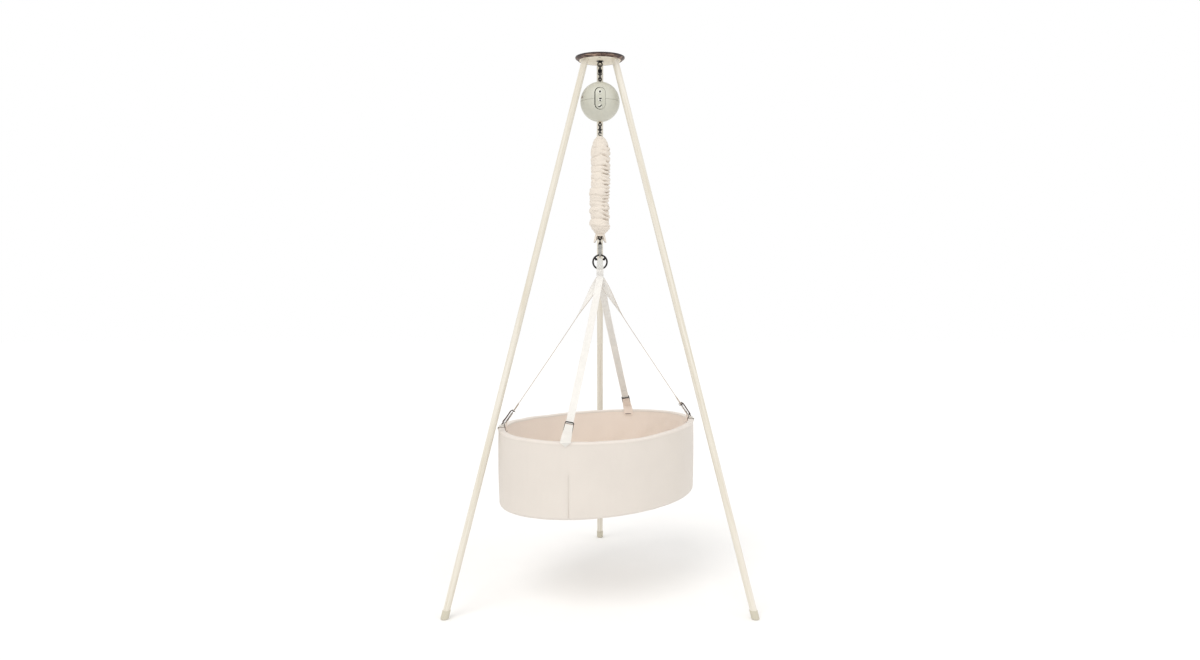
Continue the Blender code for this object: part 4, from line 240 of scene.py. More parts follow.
class Finish:
    """A material whose nodes are added step by step."""

    def __init__(self, name, colour, roughness, metallic=0.0, **sockets):
        self.material = bpy.data.materials.new(name)
        self.material.use_nodes = True
        self.tree = self.material.node_tree
        self.shader = self.tree.nodes["Principled BSDF"]
        self.height = None
        self.set(Base_Color=(*colour, 1.0), Roughness=roughness, Metallic=metallic, **sockets)

    def fill(self, node, sockets):
        """Sets a node's sockets by name, or links them to another node."""
        for name, value in sockets.items():
            socket = node.inputs[name.replace("_", " ") if isinstance(name, str) else name]
            if hasattr(value, "is_linked"):
                self.tree.links.new(value, socket)
            else:
                socket.default_value = value
        return node

    def set(self, **sockets):
        self.fill(self.shader, sockets)
        return self

    def node(self, kind, **sockets):
        return self.fill(self.tree.nodes.new("ShaderNode" + kind), sockets)

    def place(self, scale, layer=None):
        """Coordinates in metres, from the piece's own mesh or its cloth layer, times a scale."""
        source = self.node("UVMap" if layer else "TexCoord")
        if layer:
            source.uv_map = layer
        out = source.outputs["UV" if layer else "Object"]
        return self.node("Mapping", Vector=out, Scale=scale).outputs["Vector"]

    def noise(self, place, detail, distortion=0.0):
        return self.node(
            "TexNoise", Vector=place, Scale=1.0, Detail=detail, Roughness=0.55, Distortion=distortion
        ).outputs["Fac"]

    def bands(self, place, direction, spacing, distortion):
        wave = self.node("TexWave", Vector=place, Scale=0.31416 / spacing, Distortion=distortion)
        wave.wave_type, wave.bands_direction, wave.wave_profile = "BANDS", direction, "SIN"
        return wave.outputs["Fac"]

    def math(self, operation, a, b):
        made = self.node("Math")
        made.operation = operation
        return self.fill(made, {0: a, 1: b}).outputs[0]

    def mixed(self, *weighted):
        """The sum of values, each times its weight."""
        total = None
        for value, weight in weighted:
            part = self.math("MULTIPLY", value, weight)
            total = self.math("ADD", total, part) if total else part
        return total

    def colour(self, value, *stops):
        made = self.node("ValToRGB", Fac=value)
        elements = made.color_ramp.elements
        elements.remove(elements[-1])
        for i, (at, colour) in enumerate(stops):
            stop = elements.new(at) if i else elements[0]
            stop.position, stop.color = at, (*colour, 1.0)
        return self.set(Base_Color=made.outputs["Color"])

    def rough(self, value, low, high):
        made = self.node("MapRange", Value=value, To_Min=low, To_Max=high)
        return self.set(Roughness=made.outputs["Result"])

    def bump(self, value, distance, strength=1.0):
        made = self.node("Bump", Height=value, Distance=distance, Strength=strength)
        if self.height:
            self.fill(made, {"Normal": self.height})
        self.height = made.outputs["Normal"]
        return self.set(Normal=self.height)


def shade(colour, factor):
    return tuple(min(c * factor, 1.0) for c in colour)


def wood(name, dark, middle, light, roughness, stretch, layer=None):
    finish = Finish(name, middle, roughness)
    broad = finish.noise(finish.place(stretch, layer), 5.0, 0.6)
    fibres = finish.noise(finish.place([s * 9 for s in stretch], layer), 3.0)
    mixed = finish.mixed((broad, 0.72), (fibres, 0.28))
    finish.colour(mixed, (0.30, dark), (0.50, middle), (0.68, light))
    finish.rough(fibres, roughness - 0.06, roughness + 0.10)
    return finish.bump(fibres, 0.00012).bump(broad, 0.0002, 0.6).material


def cloth(name, colour, thread, warmth, depth=0.00016, sheen=0.25):
    """Plain weave: crossing threads, a little slub, and slow changes of shade."""
    finish = Finish(name, colour, 0.9, Sheen_Weight=sheen, Sheen_Roughness=0.5, Specular_IOR_Level=0.25)
    place = finish.place((1, 1, 1), "cloth")
    ways = [finish.bands(place, direction, thread, 0.4) for direction in "XY"]
    others = [finish.math("SUBTRACT", 1.0, way) for way in ways]
    crossed = finish.math("MAXIMUM", finish.math("MULTIPLY", *ways), finish.math("MULTIPLY", *others))
    slub = finish.noise(finish.place((180, 900, 1), "cloth"), 2.0)
    slow = finish.noise(finish.place((9, 9, 9)), 3.0)
    value = finish.mixed((crossed, 0.22), (slub, 0.28), (slow, 0.50))
    dark, light = shade(colour, 1 - warmth * 1.3), shade(colour, 1 + warmth)
    finish.colour(value, (0.25, dark), (0.5, colour), (0.8, light))
    return finish.bump(slub, 0.00008).bump(crossed, depth).material


def webbing(name, colour, rib=0.0017):
    """Woven band: ribs across and warp ends along."""
    finish = Finish(name, colour, 0.82, Sheen_Weight=0.2, Sheen_Roughness=0.4, Specular_IOR_Level=0.3)
    place = finish.place((1, 1, 1), "cloth")
    ribs = finish.bands(place, "Y", rib, 0.3)
    woven = finish.math("MULTIPLY", ribs, finish.bands(place, "X", rib * 0.62, 0.2))
    slow = finish.noise(finish.place((30, 30, 30)), 3.0)
    value = finish.mixed((woven, 0.5), (slow, 0.5))
    finish.colour(value, (0.1, shade(colour, 0.90)), (0.5, colour), (0.9, shade(colour, 1.03)))
    return finish.bump(ribs, 0.00022).bump(woven, 0.00018).material


def metal(name, colour, roughness, spread=0.10):
    finish = Finish(name, colour, roughness, 1.0)
    fine = finish.noise(finish.place((500, 500, 60)), 3.0)
    slow = finish.noise(finish.place((70, 70, 70)), 3.0)
    finish.rough(slow, roughness - spread / 2, roughness + spread)
    finish.colour(slow, (0.3, shade(colour, 0.86)), (0.7, shade(colour, 1.1)))
    return finish.bump(fine, 0.00003, 0.7).material


def plastic(name, colour, roughness, grain=1500, depth=0.00004, coat=0.0):
    finish = Finish(name, colour, roughness, Coat_Weight=coat, Coat_Roughness=0.2)
    fine = finish.noise(finish.place([grain] * 3), 2.0)
    slow = finish.noise(finish.place((18, 18, 18)), 3.0)
    finish.rough(slow, roughness - 0.04, roughness + 0.07)
    finish.colour(slow, (0.3, shade(colour, 0.975)), (0.7, shade(colour, 1.02)))
    return finish.bump(fine, depth, 0.6).material


# Numbers


def spaced(first, last, count):
    """Evenly spaced values in count steps, with both ends."""
    return [first + (last - first) * i / count for i in range(count + 1)]


def drift(x, y, z):
    """Smooth noise from -1 to 1, the same on every run."""
    return noise.noise(Vector((x, y, z)))


def smooth(value, low, high):
    share = min(max((value - low) / (high - low), 0.0), 1.0)
    return share * share * (3 - 2 * share)


def hump(distance, width):
    return math.exp(-((distance / width) ** 2))


def between(value, points):
    """Follows (place, value) points, smoothly from one to the next."""
    for (x0, y0), (x1, y1) in zip(points, points[1:]):
        if value <= x1:
            return y0 + (y1 - y0) * smooth(value, x0, x1)
    return points[-1][1]


def neighbours(points, i):
    return points[max(i - 1, 0)], points[min(i + 1, len(points) - 1)]


# Meshes


def soften(mesh, sharp):
    mesh.shade_smooth()
    mesh.set_sharp_from_angle(angle=math.radians(sharp))
    return mesh


def finished(work, mesh=None):
    """A worked mesh written out."""
    mesh = mesh or bpy.data.meshes.new("made")
    work.to_mesh(mesh)
    work.free()
    return mesh


def spread_out(rings, along):
    """The grid's faces, and for each corner its (across, along) place in metres."""
    n, m = len(rings), len(rings[0])
    across, up = [0.0], [0.0]
    widest = max(rings[:: max(1, n // 24)], key=lambda ring: (ring[m // 2] - ring[0]).length)
    for k in range(m):
        across.append(across[-1] + (widest[(k + 1) % m] - widest[k]).length)
    probes = range(0, m, max(1, m // 6))
    for i in range(n):
        nearby = rings[(i + 1) % n]
        up.append(up[-1] + sum((nearby[k] - rings[i][k]).length for k in probes) / len(probes))
    faces, places = [], []
    for i in range(n if along else n - 1):
        for k in range(m):
            i2, k2 = (i + 1) % n, (k + 1) % m
            faces.append((i * m + k, i * m + k2, i2 * m + k2, i2 * m + k))
            corners = ((k, i), (k + 1, i), (k + 1, i + 1), (k, i + 1))
            places += [(across[a], up[b]) for a, b in corners]
    return faces, places


def loft(rings, along=False, caps=False, sharp=60):
    """A mesh through closed rings of points, with a cloth layer that has real lengths."""
    rings = [[Vector(p) for p in ring] for ring in rings]
    faces, places = spread_out(rings, along)
    m = len(rings[0])
    if caps:
        last = (len(rings) - 1) * m
        for flat, loop in ((rings[0], range(m - 1, -1, -1)), (rings[-1], range(last, last + m))):
            faces.append(tuple(loop))
            places += [(flat[k % m].x, flat[k % m].y) for k in loop]
    mesh = bpy.data.meshes.new("loft")
    mesh.from_pydata([p for ring in rings for p in ring], [], faces)
    layer = mesh.uv_layers.new(name="cloth")
    layer.data.foreach_set("uv", [value for place in places for value in place])
    work = bmesh.new()
    work.from_mesh(mesh)
    bmesh.ops.recalc_face_normals(work, faces=work.faces)
    return soften(finished(work, mesh), sharp)


def lathe(profile, steps=96, closed=False, centre=(0, 0)):
    """A turned shape from (radius, height) points."""
    x, y = centre
    turns = [2 * math.pi * k / steps for k in range(steps)]
    rings = []
    for r, z in profile:
        r = max(r, 0.00001)
        rings.append([(x + r * math.cos(t), y + r * math.sin(t), z) for t in turns])
    mesh = loft(rings, along=closed)
    work = bmesh.new()
    work.from_mesh(mesh)
    bmesh.ops.remove_doubles(work, verts=work.verts, dist=WELD_DISTANCE)
    bmesh.ops.recalc_face_normals(work, faces=work.faces)
    return soften(finished(work, mesh), 32)


def ring_at(centre, side, other, radius, sides):
    turns = [2 * math.pi * k / sides for k in range(sides)]
    return [centre + side * radius * math.cos(t) + other * radius * math.sin(t) for t in turns]


def tube(points, radius, sides=20, cyclic=False):
    """Circles along a path, carried without twist. A radius may change along it."""
    count = len(points)
    points = [Vector(p) for p in points]
    tangents = []
    for i in range(count):
        before, after = (points[i - 1], points[(i + 1) % count]) if cyclic else neighbours(points, i)
        tangents.append((after - before).normalized())
    side = tangents[0].orthogonal().normalized()
    sides_of = []
    for i, tangent in enumerate(tangents):
        if i:
            side = tangents[i - 1].rotation_difference(tangent) @ side
        side = (side - tangent * side.dot(tangent)).normalized()
        sides_of.append(side.copy())
    twist = 0.0
    if cyclic:
        last = tangents[-1].rotation_difference(tangents[0]) @ sides_of[-1]
        twist = math.atan2(last.cross(sides_of[0]).dot(tangents[0]), last.dot(sides_of[0]))
    rings = []
    for i, tangent in enumerate(tangents):
        side = Matrix.Rotation(twist * i / count, 3, tangent) @ sides_of[i]
        size = radius[i] if hasattr(radius, "__len__") else radius
        rings.append(ring_at(points[i], side, tangent.cross(side), size, sides))
    return loft(rings, along=cyclic, caps=not cyclic)


def arc(centre, radius, first, last, count, plane="XZ"):
    points = []
    for turn in spaced(first, last, count):
        turn = math.radians(turn)
        across, up = radius * math.cos(turn), radius * math.sin(turn)
        offset = (across, 0.0, up) if plane == "XZ" else (0.0, across, up)
        points.append(Vector(centre) + Vector(offset))
    return points


def wire_ring(height, radius, wire, sides=22, plane="XZ", count=96):
    return tube(arc((0, 0, height), radius, 0, 360, count, plane)[:-1], wire / 2, sides, True)


def bar(radius, start, end, sides=40, far=None, ease=0.0):
    """A round bar, with its ends eased when ease is given."""
    start, end = Vector(start), Vector(end)
    far = radius if far is None else far
    along = (end - start).normalized()
    side = along.orthogonal().normalized()
    other = along.cross(side)
    stations = [(start, radius), (end, far)]
    if ease:
        turns = [math.radians(t) for t in (90, 60, 30, 0)]
        stations = [
            (place + along * way * ease * (1 - math.sin(t)), size - ease + ease * math.cos(t))
            for place, size, way in ((start, radius, 1), (end, far, -1))
            for t in turns[::way]
        ]
    rings = [ring_at(place, side, other, size, sides) for place, size in stations]
    return loft(rings, caps=True, sharp=40)


def upright(radius, low, high, sides=40, far=None, ease=0.0):
    return bar(radius, (0, 0, low), (0, 0, high), sides, far, ease)


def block(low, high, bevel=0.0):
    work = bmesh.new()
    bmesh.ops.create_cube(work, size=1.0)
    low, high = Vector(low), Vector(high)
    place = Matrix.Translation((low + high) / 2) @ Matrix.Diagonal((*(high - low), 1.0))
    bmesh.ops.transform(work, matrix=place, verts=work.verts)
    if bevel:
        edges = list(work.edges)
        bmesh.ops.bevel(work, geom=edges, offset=bevel, segments=3, affect="EDGES", profile=0.5)
    return soften(finished(work), 40)


def pill_block(width, length, near=0.030, far=0.080, steps=28):
    radius = width / 2
    straight = length / 2 - radius
    outline = []
    for sign, first in ((1, 0), (-1, 180)):
        for turn in spaced(first, first + 180, steps):
            turn = math.radians(turn)
            outline.append((radius * math.cos(turn), sign * straight + radius * math.sin(turn)))
    middle = BALL_CENTRE + PANEL_RISE
    return loft([[(x, -d, middle + z) for x, z in outline] for d in (near, far)], caps=True, sharp=40)


def ball(radius, segments, rings):
    work = bmesh.new()
    bmesh.ops.create_uvsphere(work, u_segments=segments, v_segments=rings, radius=radius)
    bmesh.ops.translate(work, vec=(0, 0, BALL_CENTRE), verts=work.verts)
    mesh = finished(work)
    mesh.shade_smooth()
    return mesh


def join(*meshes):
    """Several meshes as one, side by side."""
    work = bmesh.new()
    for mesh in meshes:
        work.from_mesh(mesh)
    return finished(work)


def modified(mesh, steps, sharp):
    """A mesh after modifiers, each a kind with its settings. A mesh among them gets an object."""
    helpers = []

    def stand_in(shape):
        obj = bpy.data.objects.new("helper", shape)
        bpy.context.scene.collection.objects.link(obj)
        helpers.append(obj)
        return obj

    obj = stand_in(mesh)
    for kind, settings in steps:
        step = obj.modifiers.new(kind, kind)
        for key, value in settings.items():
            setattr(step, key, stand_in(value) if key == "object" else value)
    bpy.context.view_layer.update()
    graph = bpy.context.evaluated_depsgraph_get()
    made = bpy.data.meshes.new_from_object(obj.evaluated_get(graph))
    for helper in helpers:
        bpy.data.objects.remove(helper, do_unlink=True)
    made.materials.clear()
    return soften(made, sharp)


def shaped(base, *steps):
    """A mesh after solid unions, cuts and intersections with others."""
    cuts = [("BOOLEAN", {"operation": kind, "solver": "EXACT", "object": other}) for kind, other in steps]
    return modified(base, cuts, 32)


def bevelled(mesh, width, segments=3, angle=35):
    settings = {"width": width, "segments": segments, "limit_method": "ANGLE", "use_clamp_overlap": True}
    return modified(mesh, [("BEVEL", settings | {"angle_limit": math.radians(angle)})], 40)


def add(name, mesh, finish, body, *nodes):
    """A new piece on the suspension axis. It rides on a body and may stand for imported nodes."""
    mesh.name = name
    mesh.transform(Matrix.Translation(AXIS))
    mesh.materials.clear()
    mesh.materials.append(finish)
    obj = bpy.data.objects.new(name, mesh)
    bpy.context.scene.collection.objects.link(obj)
    if body:
        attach(obj, body)
    if nodes:
        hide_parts(*nodes)
    return obj


# Finishes in use

WALNUT = wood(
    "walnut_grain", (0.016, 0.006, 0.005), (0.060, 0.027, 0.019), (0.46, 0.32, 0.24), 0.46, (26, 60, 95)
)
# A much darker copy of the walnut for the disc's upright side: painted shade, so the side reads darker than
# the lit chamfer below it.
WALNUT_SIDE_PAINTED_SHADE = wood(
    "walnut_side_painted_shade_grain", (0.008, 0.003, 0.003), (0.017, 0.007, 0.006), (0.06, 0.03, 0.02), 0.40, (26, 60, 95)
)
PALE_WOOD = wood(
    "pale_wood_grain", (0.625, 0.575, 0.466), (0.735, 0.693, 0.606), (0.804, 0.772, 0.705), 0.50,
    (110, 3.2, 1), "cloth",
)
PALE_PLATE = wood(
    "pale_plate_grain", (0.70, 0.62, 0.48), (0.80, 0.74, 0.62), (0.87, 0.82, 0.72), 0.50, (4, 90, 90)
)
PLY = wood("ply_grain", (0.44, 0.30, 0.17), (0.58, 0.42, 0.26), (0.68, 0.52, 0.34), 0.6, (6, 80, 80))
FOOT_RUBBER = plastic("foot_rubber", (0.58, 0.545, 0.445), 0.72, 900, 0.00008)
DARK_METAL = metal("dark_metal", (0.045, 0.043, 0.041), 0.24)
GRIP_METAL = metal("grip_metal", (0.022, 0.021, 0.021), 0.26)
HOOK_METAL = metal("hook_metal", (0.060, 0.058, 0.056), 0.20)
SATIN_METAL = metal("satin_metal", (0.50, 0.50, 0.50), 0.30)
SPRING_METAL = metal("spring_metal", (0.14, 0.14, 0.13), 0.26)
SNAP_METAL = metal("snap_metal", (0.40, 0.395, 0.37), 0.34, 0.2)
BRASS = metal("brass_metal", (0.62, 0.43, 0.18), 0.30)
SHELL = plastic("shell_skin", (0.578, 0.577, 0.503), 0.44, 1800, 0.00005)
PANEL = plastic("panel_skin", (0.550, 0.552, 0.472), 0.34, 2200, 0.00002, coat=0.15)
BUTTON = plastic("button_skin", (0.70, 0.70, 0.635), 0.32, 2200, 0.00002, coat=0.2)
MARK = plastic("button_mark", (0.020, 0.022, 0.016), 0.6, 1500, 0.00002)
FAINT_MARK = plastic("faint_mark", (0.17, 0.17, 0.14), 0.6, 1500, 0.00002)
INNER = plastic("inner_skin", (0.10, 0.10, 0.11), 0.5)
BOARD = plastic("board_skin", (0.025, 0.15, 0.07), 0.42, 700, 0.00006)
SOCKET_SKIN = plastic("socket_skin", (0.26, 0.12, 0.075), 0.42)
THREAD = plastic("thread", (0.80, 0.76, 0.70), 0.75, 3000, 0.00003)
LEATHER = plastic("leather", (0.060, 0.030, 0.022), 0.55, 1400, 0.00012)
SLEEVE = cloth("sleeve_cotton", (0.785, 0.718, 0.640), 0.0007, 0.035, 0.00010, 0.35)
COVER = cloth("cover_cotton", (0.748, 0.695, 0.640), 0.0010, 0.030)
RIM = cloth("rim_cotton", (0.80, 0.740, 0.685), 0.0010, 0.030)
# A darker cloth for the cover's seams: painted shade in their grooves.
SEAM_PAINTED_SHADE = cloth("seam_painted_shade_cotton", (0.60, 0.54, 0.48), 0.0010, 0.030)
LINING = cloth("lining_cotton", (0.872, 0.772, 0.697), 0.0009, 0.035, sheen=0.3)
PAD = cloth("pad_cotton", (0.85, 0.82, 0.76), 0.0008, 0.02)
# The inner tab layers: the lining's own peach, made a little lighter as painted light against the shade above
# the rim.
INNER_TAB_PAINTED_LIGHT = cloth("inner_tab_painted_light_cotton", (0.890, 0.775, 0.695), 0.0009, 0.03)
WEB = webbing("strap_webbing", (0.92, 0.90, 0.865))
# Darker webbing for a strap's edge faces: painted shade along its edges.
EDGE_WEB_PAINTED_SHADE = webbing("strap_edge_painted_shade_webbing", (0.58, 0.49, 0.41))
# Greyer webbing for the keeper inside the ring: painted shade.
KEEPER_PAINTED_SHADE_WEB = webbing("keeper_painted_shade_webbing", (0.80, 0.80, 0.77), 0.0012)
TAB_WEB = webbing("tab_webbing", (0.90, 0.875, 0.83), 0.0014)

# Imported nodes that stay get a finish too
for finish, nodes in (
    (INNER, ["chassis", "gear_motor"]),
    (BOARD, ["circuit_board"]),
    (BRASS, ["guide_bush", "drive_pinion"]),
    (PLY, ["base_board"]),
    (SATIN_METAL, ["hanger_nut", "eye_nut", "rim_hoop", "disc_screw_1", "disc_screw_2", "disc_screw_3"]),
    (SATIN_METAL, ["leg_bolt_" + leg for leg in LEG_HEADINGS]),
):
    for node in nodes:
        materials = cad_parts[node].data.materials
        materials.clear()
        materials.append(finish)


# Stand


def heading_vector(degrees):
    turn = math.radians(degrees)
    return Vector((math.cos(turn), math.sin(turn), 0.0))


def leg_point(heading, height):
    radius = LEG_TOP_RADIUS + (HUB_UNDERSIDE - height) * LEG_SLOPE
    turn = math.radians(heading)
    return Vector((radius * math.cos(turn), radius * math.sin(turn), height))


def slanted_ring(heading, radius, level):
    """A circle round a leg's centre line, slid along the leg until it lies level."""
    along = (leg_point(heading, 1.0) - leg_point(heading, 0.0)).normalized()
    out = heading_vector(heading)
    side = Vector((-out.y, out.x, 0.0))
    ring = ring_at(leg_point(heading, level), side, along.cross(side), radius, 56)
    return [point + along * ((level - point.z) / along.z) for point in ring]


def eased(radius, height, ease, way):
    """A quarter round as (radius, height) points, at a low edge or, with way -1, at a high one."""
    turns = [math.radians(t) for t in range(0, 91, 15)]
    corner = [(1 - math.sin(t), 1 - math.cos(t)) for t in turns]
    if way > 0:
        return [(radius - ease * a, ease * b) for a, b in corner]
    return [(radius - ease * b, height - ease * a) for a, b in corner]


def make_stand():
    radius, pocket = DISC_DIAMETER / 2, HUB_PLATE_DIAMETER / 2 + GAP
    disc = lathe([
        (0.0, STAND_HEIGHT), (radius, STAND_HEIGHT), (radius, HUB_UNDERSIDE + DISC_EDGE),
        (radius - DISC_CHAMFER, HUB_UNDERSIDE), (pocket, HUB_UNDERSIDE), (pocket, HUB_TOP + GAP),
        (0.0, HUB_TOP + GAP),
    ], 144)
    top = add("disc_wood", bevelled(disc, 0.0011, 4, 20), WALNUT, "stand", "top_disc")
    # The upright side and the top of the disc take the darker walnut copy: painted shade.
    top.data.materials.append(WALNUT_SIDE_PAINTED_SHADE)
    for face in top.data.polygons:
        if face.center.z > HUB_UNDERSIDE + DISC_EDGE - 0.0004:
            face.material_index = 1

    radius, bore, low = HUB_PLATE_DIAMETER / 2, EYE_SHANK / 2 + GAP, HUB_UNDERSIDE
    plate = lathe([
        (0.0080, HUB_TOP), (radius, HUB_TOP), (radius, low + 0.0010), (radius - 0.0010, low),
        (bore, low), (bore, HUB_TOP - 0.0043), (0.0080, HUB_TOP - 0.0043),
    ], 128, closed=True)
    hole, head = SCREW_HOLE_RADIUS, SCREW_HEAD_RADIUS
    cuts = []
    for i in range(3):
        turn = math.radians(-90.0 + 120.0 * i)
        seat = [
            (0.0, low + 0.0100), (hole, low + 0.0100), (hole, low + 0.0028),
            (head, low + 0.0010), (head, low - 0.0005), (0.0, low - 0.0005),
        ]
        centre = (SCREW_CIRCLE_RADIUS * math.cos(turn), SCREW_CIRCLE_RADIUS * math.sin(turn))
        cuts.append(("DIFFERENCE", lathe(seat, 32, centre=centre)))
    add("hub_wood", shaped(plate, *cuts), PALE_PLATE, "stand", "hub_plate")

    foot, socket = FOOT_DIAMETER / 2, LEG_DIAMETER / 2 + GAP
    outside = [(foot - 0.0050, 0.0), *eased(foot, 0.0, FOOT_ROUND, 1)]
    outside += eased(foot, FOOT_HEIGHT, FOOT_EDGE, -1)
    outside += [(socket, FOOT_HEIGHT), (socket, FOOT_FLOOR)]
    for leg, heading in LEG_HEADINGS.items():
        levels = [FOOT_FLOOR + GAP + (HUB_UNDERSIDE - FOOT_FLOOR - 2 * GAP) * i / 24 for i in range(25)]
        pole = loft([slanted_ring(heading, LEG_DIAMETER / 2, z) for z in levels], caps=True)
        add("pole_" + leg, pole, PALE_WOOD, "stand", "leg_" + leg)
        cap = loft([slanted_ring(heading, r, z) for r, z in outside], caps=True, sharp=50)
        add("foot_cap_" + leg, cap, FOOT_RUBBER, "stand", "foot_" + leg)

    top, radius, height = HUB_UNDERSIDE - GAP, EYE_COLLAR_RADIUS, EYE_COLLAR_HEIGHT
    collar = lathe([
        (0.0, top), (radius, top), (radius, top - height * 0.35), (radius * 0.72, top - height * 0.8),
        (EYE_WIRE * 0.75, top - height), (0.0, top - height),
    ], 64)
    eye = wire_ring(EYE_CENTRE, EYE_RADIUS, EYE_WIRE, 24)
    shank = upright(EYE_SHANK / 2, top - 0.001, HUB_TOP - GAP)
    screw = shaped(eye, ("UNION", bevelled(collar, 0.0005, 3, 20)), ("UNION", shank))
    add("eye_screw", screw, DARK_METAL, "stand", "eye_bolt")


# Hooks


def crosswise(radius, x, z, near, far, sides=28):
    return bar(radius, (x, near, z), (x, far, z), sides)


def make_hook(name, nodes, bodies, top, low, width, size):
    """An open loop with a hinge fork and its gate, turned so that the gate is in front."""
    half = width / 2
    pin = low + half + size * HOOK_PIN_RISE
    nose = top - half - size * 0.9
    path = [Vector((half, 0.0, nose)), Vector((half, 0.0, (nose + top - half) / 2))]
    path += arc((0, 0, top - half), half, 0, 180, 28)
    path += arc((0, 0, low + half), half, 180, 360, 28)
    path.append(Vector((half, 0.0, pin - size * 0.62)))
    radius = size * 0.84 / 2
    slot = radius + GAP
    fork = slot + HOOK_CHEEK
    cheeks = (half - size * 0.5, -fork, pin - size * 0.85), (half + size * 0.5, fork, pin + size * 0.45)
    cut = block((half - size, -slot, pin - size * 0.47), (half + size, slot, pin + size))
    rivet = crosswise(HOOK_HINGE_PIN / 2, half, pin, -fork - 0.0004, fork + 0.0004)
    hook = shaped(
        tube(path, size / 2, 24), ("UNION", block(*cheeks, 0.0006)), ("DIFFERENCE", cut), ("UNION", rivet)
    )
    for vert in hook.vertices:
        share = (vert.co.z - low) / (top - low)
        middle = smooth(share, HOOK_EYE_SHARE, 0.36) * (1 - smooth(share, 0.64, 1 - HOOK_EYE_SHARE))
        vert.co.y *= 1 + HOOK_BROAD * middle

    tip = nose - 0.0005
    first, last = pin + size * 0.7, tip - size * 0.35
    grip = radius + size * 0.48
    profile = [(radius * 0.6, last), (grip - 0.0003, last), (grip, last - 0.0003)]
    for z in spaced(last, first, 6)[1:-1]:
        profile += [(grip, z + 0.00035), (grip - 0.00045, z), (grip, z - 0.00035)]
    profile += [(grip, first + 0.0003), (grip - 0.0003, first), (radius * 0.6, first)]
    sleeve = lathe(profile, 48, closed=True, centre=(half, 0))
    for vert in sleeve.vertices:
        vert.co.y *= GRIP_OVAL
    core = bar(radius, (half, 0, pin), (half, 0, tip), 32, ease=radius * 0.3)
    knuckle = crosswise(size * 0.42, half, pin, -radius, radius, 32)
    bore = crosswise(HOOK_HINGE_PIN / 2 + 0.0002, half, pin, -radius * 2, radius * 2)
    gate = shaped(core, ("UNION", knuckle), ("UNION", sleeve), ("DIFFERENCE", bore))
    for mesh in (hook, gate):
        mesh.transform(Matrix.Rotation(-math.pi / 2, 4, "Z"))
    add("hook_" + name, hook, HOOK_METAL, bodies[0], nodes[0])
    add("gate_" + name, gate, GRIP_METAL, bodies[1], nodes[1])


def make_hooks():
    upper = UPPER_HOOK_TOP, UPPER_HOOK_LOW, UPPER_HOOK_WIDTH, UPPER_HOOK_WIRE
    lower = LOWER_HOOK_TOP, LOWER_HOOK_LOW, LOWER_HOOK_WIDTH, LOWER_HOOK_WIRE
    make_hook("upper", ("upper_carabiner", "upper_gate"), ("upper_hook", "upper_gate"), *upper)
    make_hook("lower", ("lower_carabiner", "lower_gate"), ("rod", "lower_gate"), *lower)


# Drive


def shell_profile(upper):
    inner = BALL_RADIUS - BALL_WALL
    hole = (HANGER_SHANK if upper else ROD_DIAMETER + 0.0040) / 2 + GAP
    seam = 0.0002
    turns = spaced(math.asin(hole / BALL_RADIUS), math.radians(89.2), 29)
    profile = [(BALL_RADIUS * math.sin(t), BALL_RADIUS * math.cos(t)) for t in turns]
    profile += [(BALL_RADIUS - 0.0003, seam + 0.0002), (BALL_RADIUS - 0.0008, seam), (inner + 0.0006, seam)]
    turns = spaced(math.radians(88.0), math.asin(hole / inner), 15)
    profile += [(inner * math.sin(t), inner * math.cos(t)) for t in turns]
    return [(r, BALL_CENTRE + (z if upper else -z)) for r, z in profile]


# Strokes of the signs, as (x, z) points
SIGNS = {
    "power": (((0.0, 0.0), (0.0, 0.0001)),),
    "speed": (((-0.0010, 0.0031), (0.0034, 0.0031)), ((0.0, -0.0034), (0.0012, -0.0034))),
    "timer": (((-0.0042, -0.0012), (-0.0012, -0.0024), (0.0018, -0.0002), (0.0040, 0.0028)),),
}
SIGN_STROKE = {"power": 0.0078, "speed": 0.0050, "timer": 0.0042}


def stroke(line, radius):
    """A stroke with round tips through (x, z) points."""
    points = [Vector((x, 0.0, z)) for x, z in line]
    first, last = (points[1] - points[0]).normalized(), (points[-1] - points[-2]).normalized()
    tips = [math.radians(t) for t in (85, 60, 35, 12)]
    path = [points[0] - first * radius * math.sin(t) for t in tips] + points
    path += [points[-1] + last * radius * math.sin(t) for t in tips[::-1]]
    sizes = [radius * math.cos(t) for t in tips]
    return tube(path, sizes + [radius] * len(points) + sizes[::-1], 16)


def on_ball(mesh, rise, skin):
    """Wraps a flat mesh round the ball, a little sunk into its skin."""
    for vert in mesh.vertices:
        x, z = vert.co.x, vert.co.z + rise
        y = -math.sqrt(skin**2 - x * x - z * z) + 0.00012 + vert.co.y * 0.15
        vert.co = Vector((x, y, BALL_CENTRE + z))
    mesh.shade_smooth()
    return mesh


